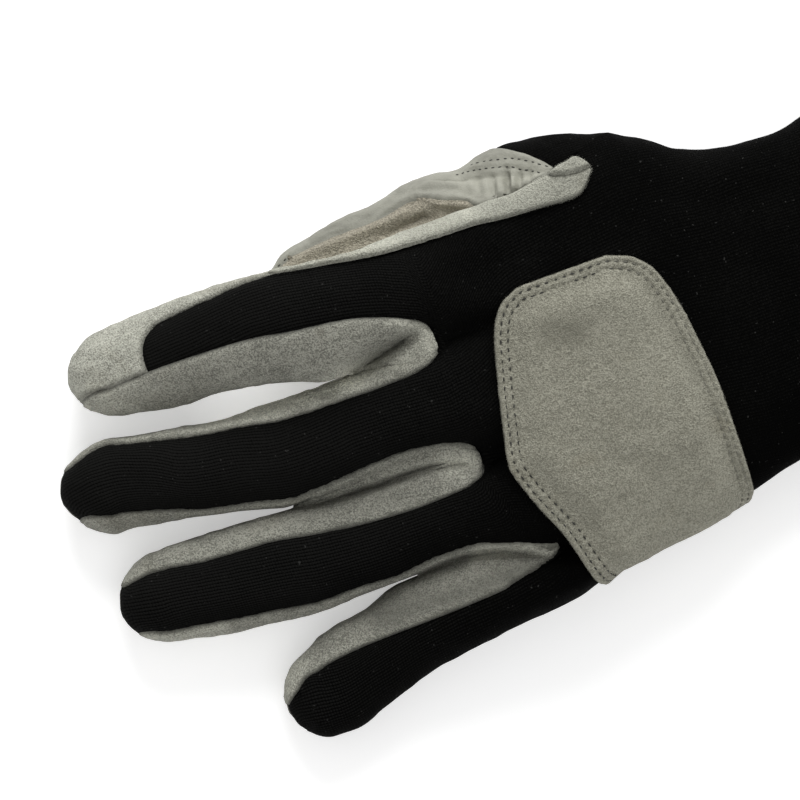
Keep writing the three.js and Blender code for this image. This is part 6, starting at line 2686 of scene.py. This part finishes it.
@dataclass
class Studio:
    """A pale table, soft light from the upper left and a camera straight above the glove."""

    distance: float = 1.6
    sensor: float = 36.0
    floor_half: float = 3.0
    white: float = 0.93
    glow: float = 0.37
    surround: float = 0.56

    def build(self) -> None:
        """Adds the table, the lights and the camera."""
        self.add_table()
        self.add_lights()
        self.add_camera()

    def add_table(self) -> None:
        """Adds the pale table that the glove lies on."""
        mesh = bpy.data.meshes.new("table")
        corners = [(x * self.floor_half, y * self.floor_half, 0) for x, y in ((-1, -1), (1, -1), (1, 1), (-1, 1))]
        mesh.from_pydata(corners, [], [(0, 1, 2, 3)])
        mesh.materials.append(Canvas("table_white", {
            "Base Color": (self.white, self.white, self.white, 1), "Roughness": 0.9,
            "Emission Color": (1, 1, 1, 1), "Emission Strength": self.glow,
        }).material)
        table = linked("table", mesh)

    def add_lights(self) -> None:
        """Adds a broad main light, a weak fill light and a pale surround."""
        centre = Vector(to_metres(PHOTO_CENTRE))
        for name, angle, height, away, size, power in (("main_light", 88.0, 0.9, 1.65, 1.3, 33.0),
                                                       ("fill_light", -70.0, 1.8, 0.9, 1.6, 6.0)):
            data = bpy.data.lights.new(name, "AREA")
            data.shape, data.size, data.energy = "DISK", size, power
            light = linked(name, data)
            direction = math.radians(angle) + PHOTO_TURN
            light.location = centre + Vector((math.cos(direction) * away, math.sin(direction) * away, height))
            light.rotation_euler = (centre - light.location).to_track_quat("-Z", "Y").to_euler()
        world = bpy.data.worlds.new("surround")
        world.use_nodes = True
        background = world.node_tree.nodes["Background"]
        background.inputs["Color"].default_value = (1, 1, 1, 1)
        background.inputs["Strength"].default_value = self.surround
        bpy.context.scene.world = world
        bpy.context.scene.view_settings.view_transform = "Standard"

    def add_camera(self) -> None:
        """Adds a camera with a long lens, turned as the photograph is."""
        data = bpy.data.cameras.new("camera")
        data.sensor_width = self.sensor
        data.lens = self.sensor * self.distance / PHOTO_SIDE
        camera = linked("camera", data)
        camera.location = Vector(to_metres(PHOTO_CENTRE)) + Vector((0, 0, self.distance))
        camera.rotation_euler = (0, 0, PHOTO_TURN)
        bpy.context.scene.camera = camera


PANELS = (
    Panel(Piece.BACK, BACK_KNIT, "knit"),
    Panel(Piece.PALM, PALM_SUEDE, "palm_suede"),
    *(Panel(piece, SHADED_WALL_SUEDE, "fourchette_suede") for piece in FOURCHETTES),
    Panel(Piece.INDEX_SIDE, SUEDE, "index_suede"),
    Panel(Piece.THUMB_OUTER, GREY_LEATHER, "thumb_leather"),
    Panel(Piece.THUMB_INNER, PINK_SUEDE, "thumb_suede"),
    Panel(Piece.CUFF, CUFF_KNIT, "cuff_knit"),
    Panel(Piece.BINDING, BINDING_TAPE, "binding"),
)


def main() -> None:
    """Builds the glove, the table, the lights and the camera."""
    logging.basicConfig(level=logging.INFO, format="%(message)s")
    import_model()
    form = GloveForm()
    cloth = FormBuilder(form).build()
    Sculptor(cloth).sculpt()
    for panel in PANELS:
        obj = panel.build(cloth)
        LOG.info("%s: %d faces", obj.name, len(obj.data.polygons))
    patch = KnucklePatch("knuckle_patch", "patch_suede", PATCH_SUEDE, 0.75, 1.5, 140, 235,
                         waver=0.12, stitch_rows=(1.5, 3.4), seed=21)
    obj = patch.build(form)
    strip = SideStrip("side_strip", "strip_suede", STRIP_SUEDE, 0.35, 1.9, 220, 20, 0.12, seed=31)
    strip.declare_sheet(strip.build(form), ["back_panel_cloth", "index_side_cloth"])
    tab = WristTab("wrist_tab", "tab_suede", SUEDE, 0.35, 1.8, 90, 70, 0.12, 2.2, (1.7,), seed=41)
    tab.declare_sheet(tab.build(form), ["cuff_cloth"])
    top = ClothTop(cloth)
    Stitching("patch_thread", WORN_THREAD, "patch_suede", 2.4, 1.25, 0.42).build(patch.stitch_paths())
    Stitching("tab_thread", DARK_THREAD, "tab_suede").build(tab.stitch_paths())
    Stitching("thumb_thread", DARK_THREAD, "thumb_leather", 1.9, 1.05, 0.4).build(
        [top.path(row) for row in (*THUMB_ROWS, THUMB_TIP_ROW)])
    Fibres("patch_fibres", PATCH_SUEDE, "patch_suede", 0.13, 0.35).build([patch.rim_path()])
    Fibres("strip_fibres", STRIP_SUEDE, "strip_suede", 0.08, 0.65).build([strip.rim_path()])
    Studio().build()


if __name__ == "__main__":
    main()
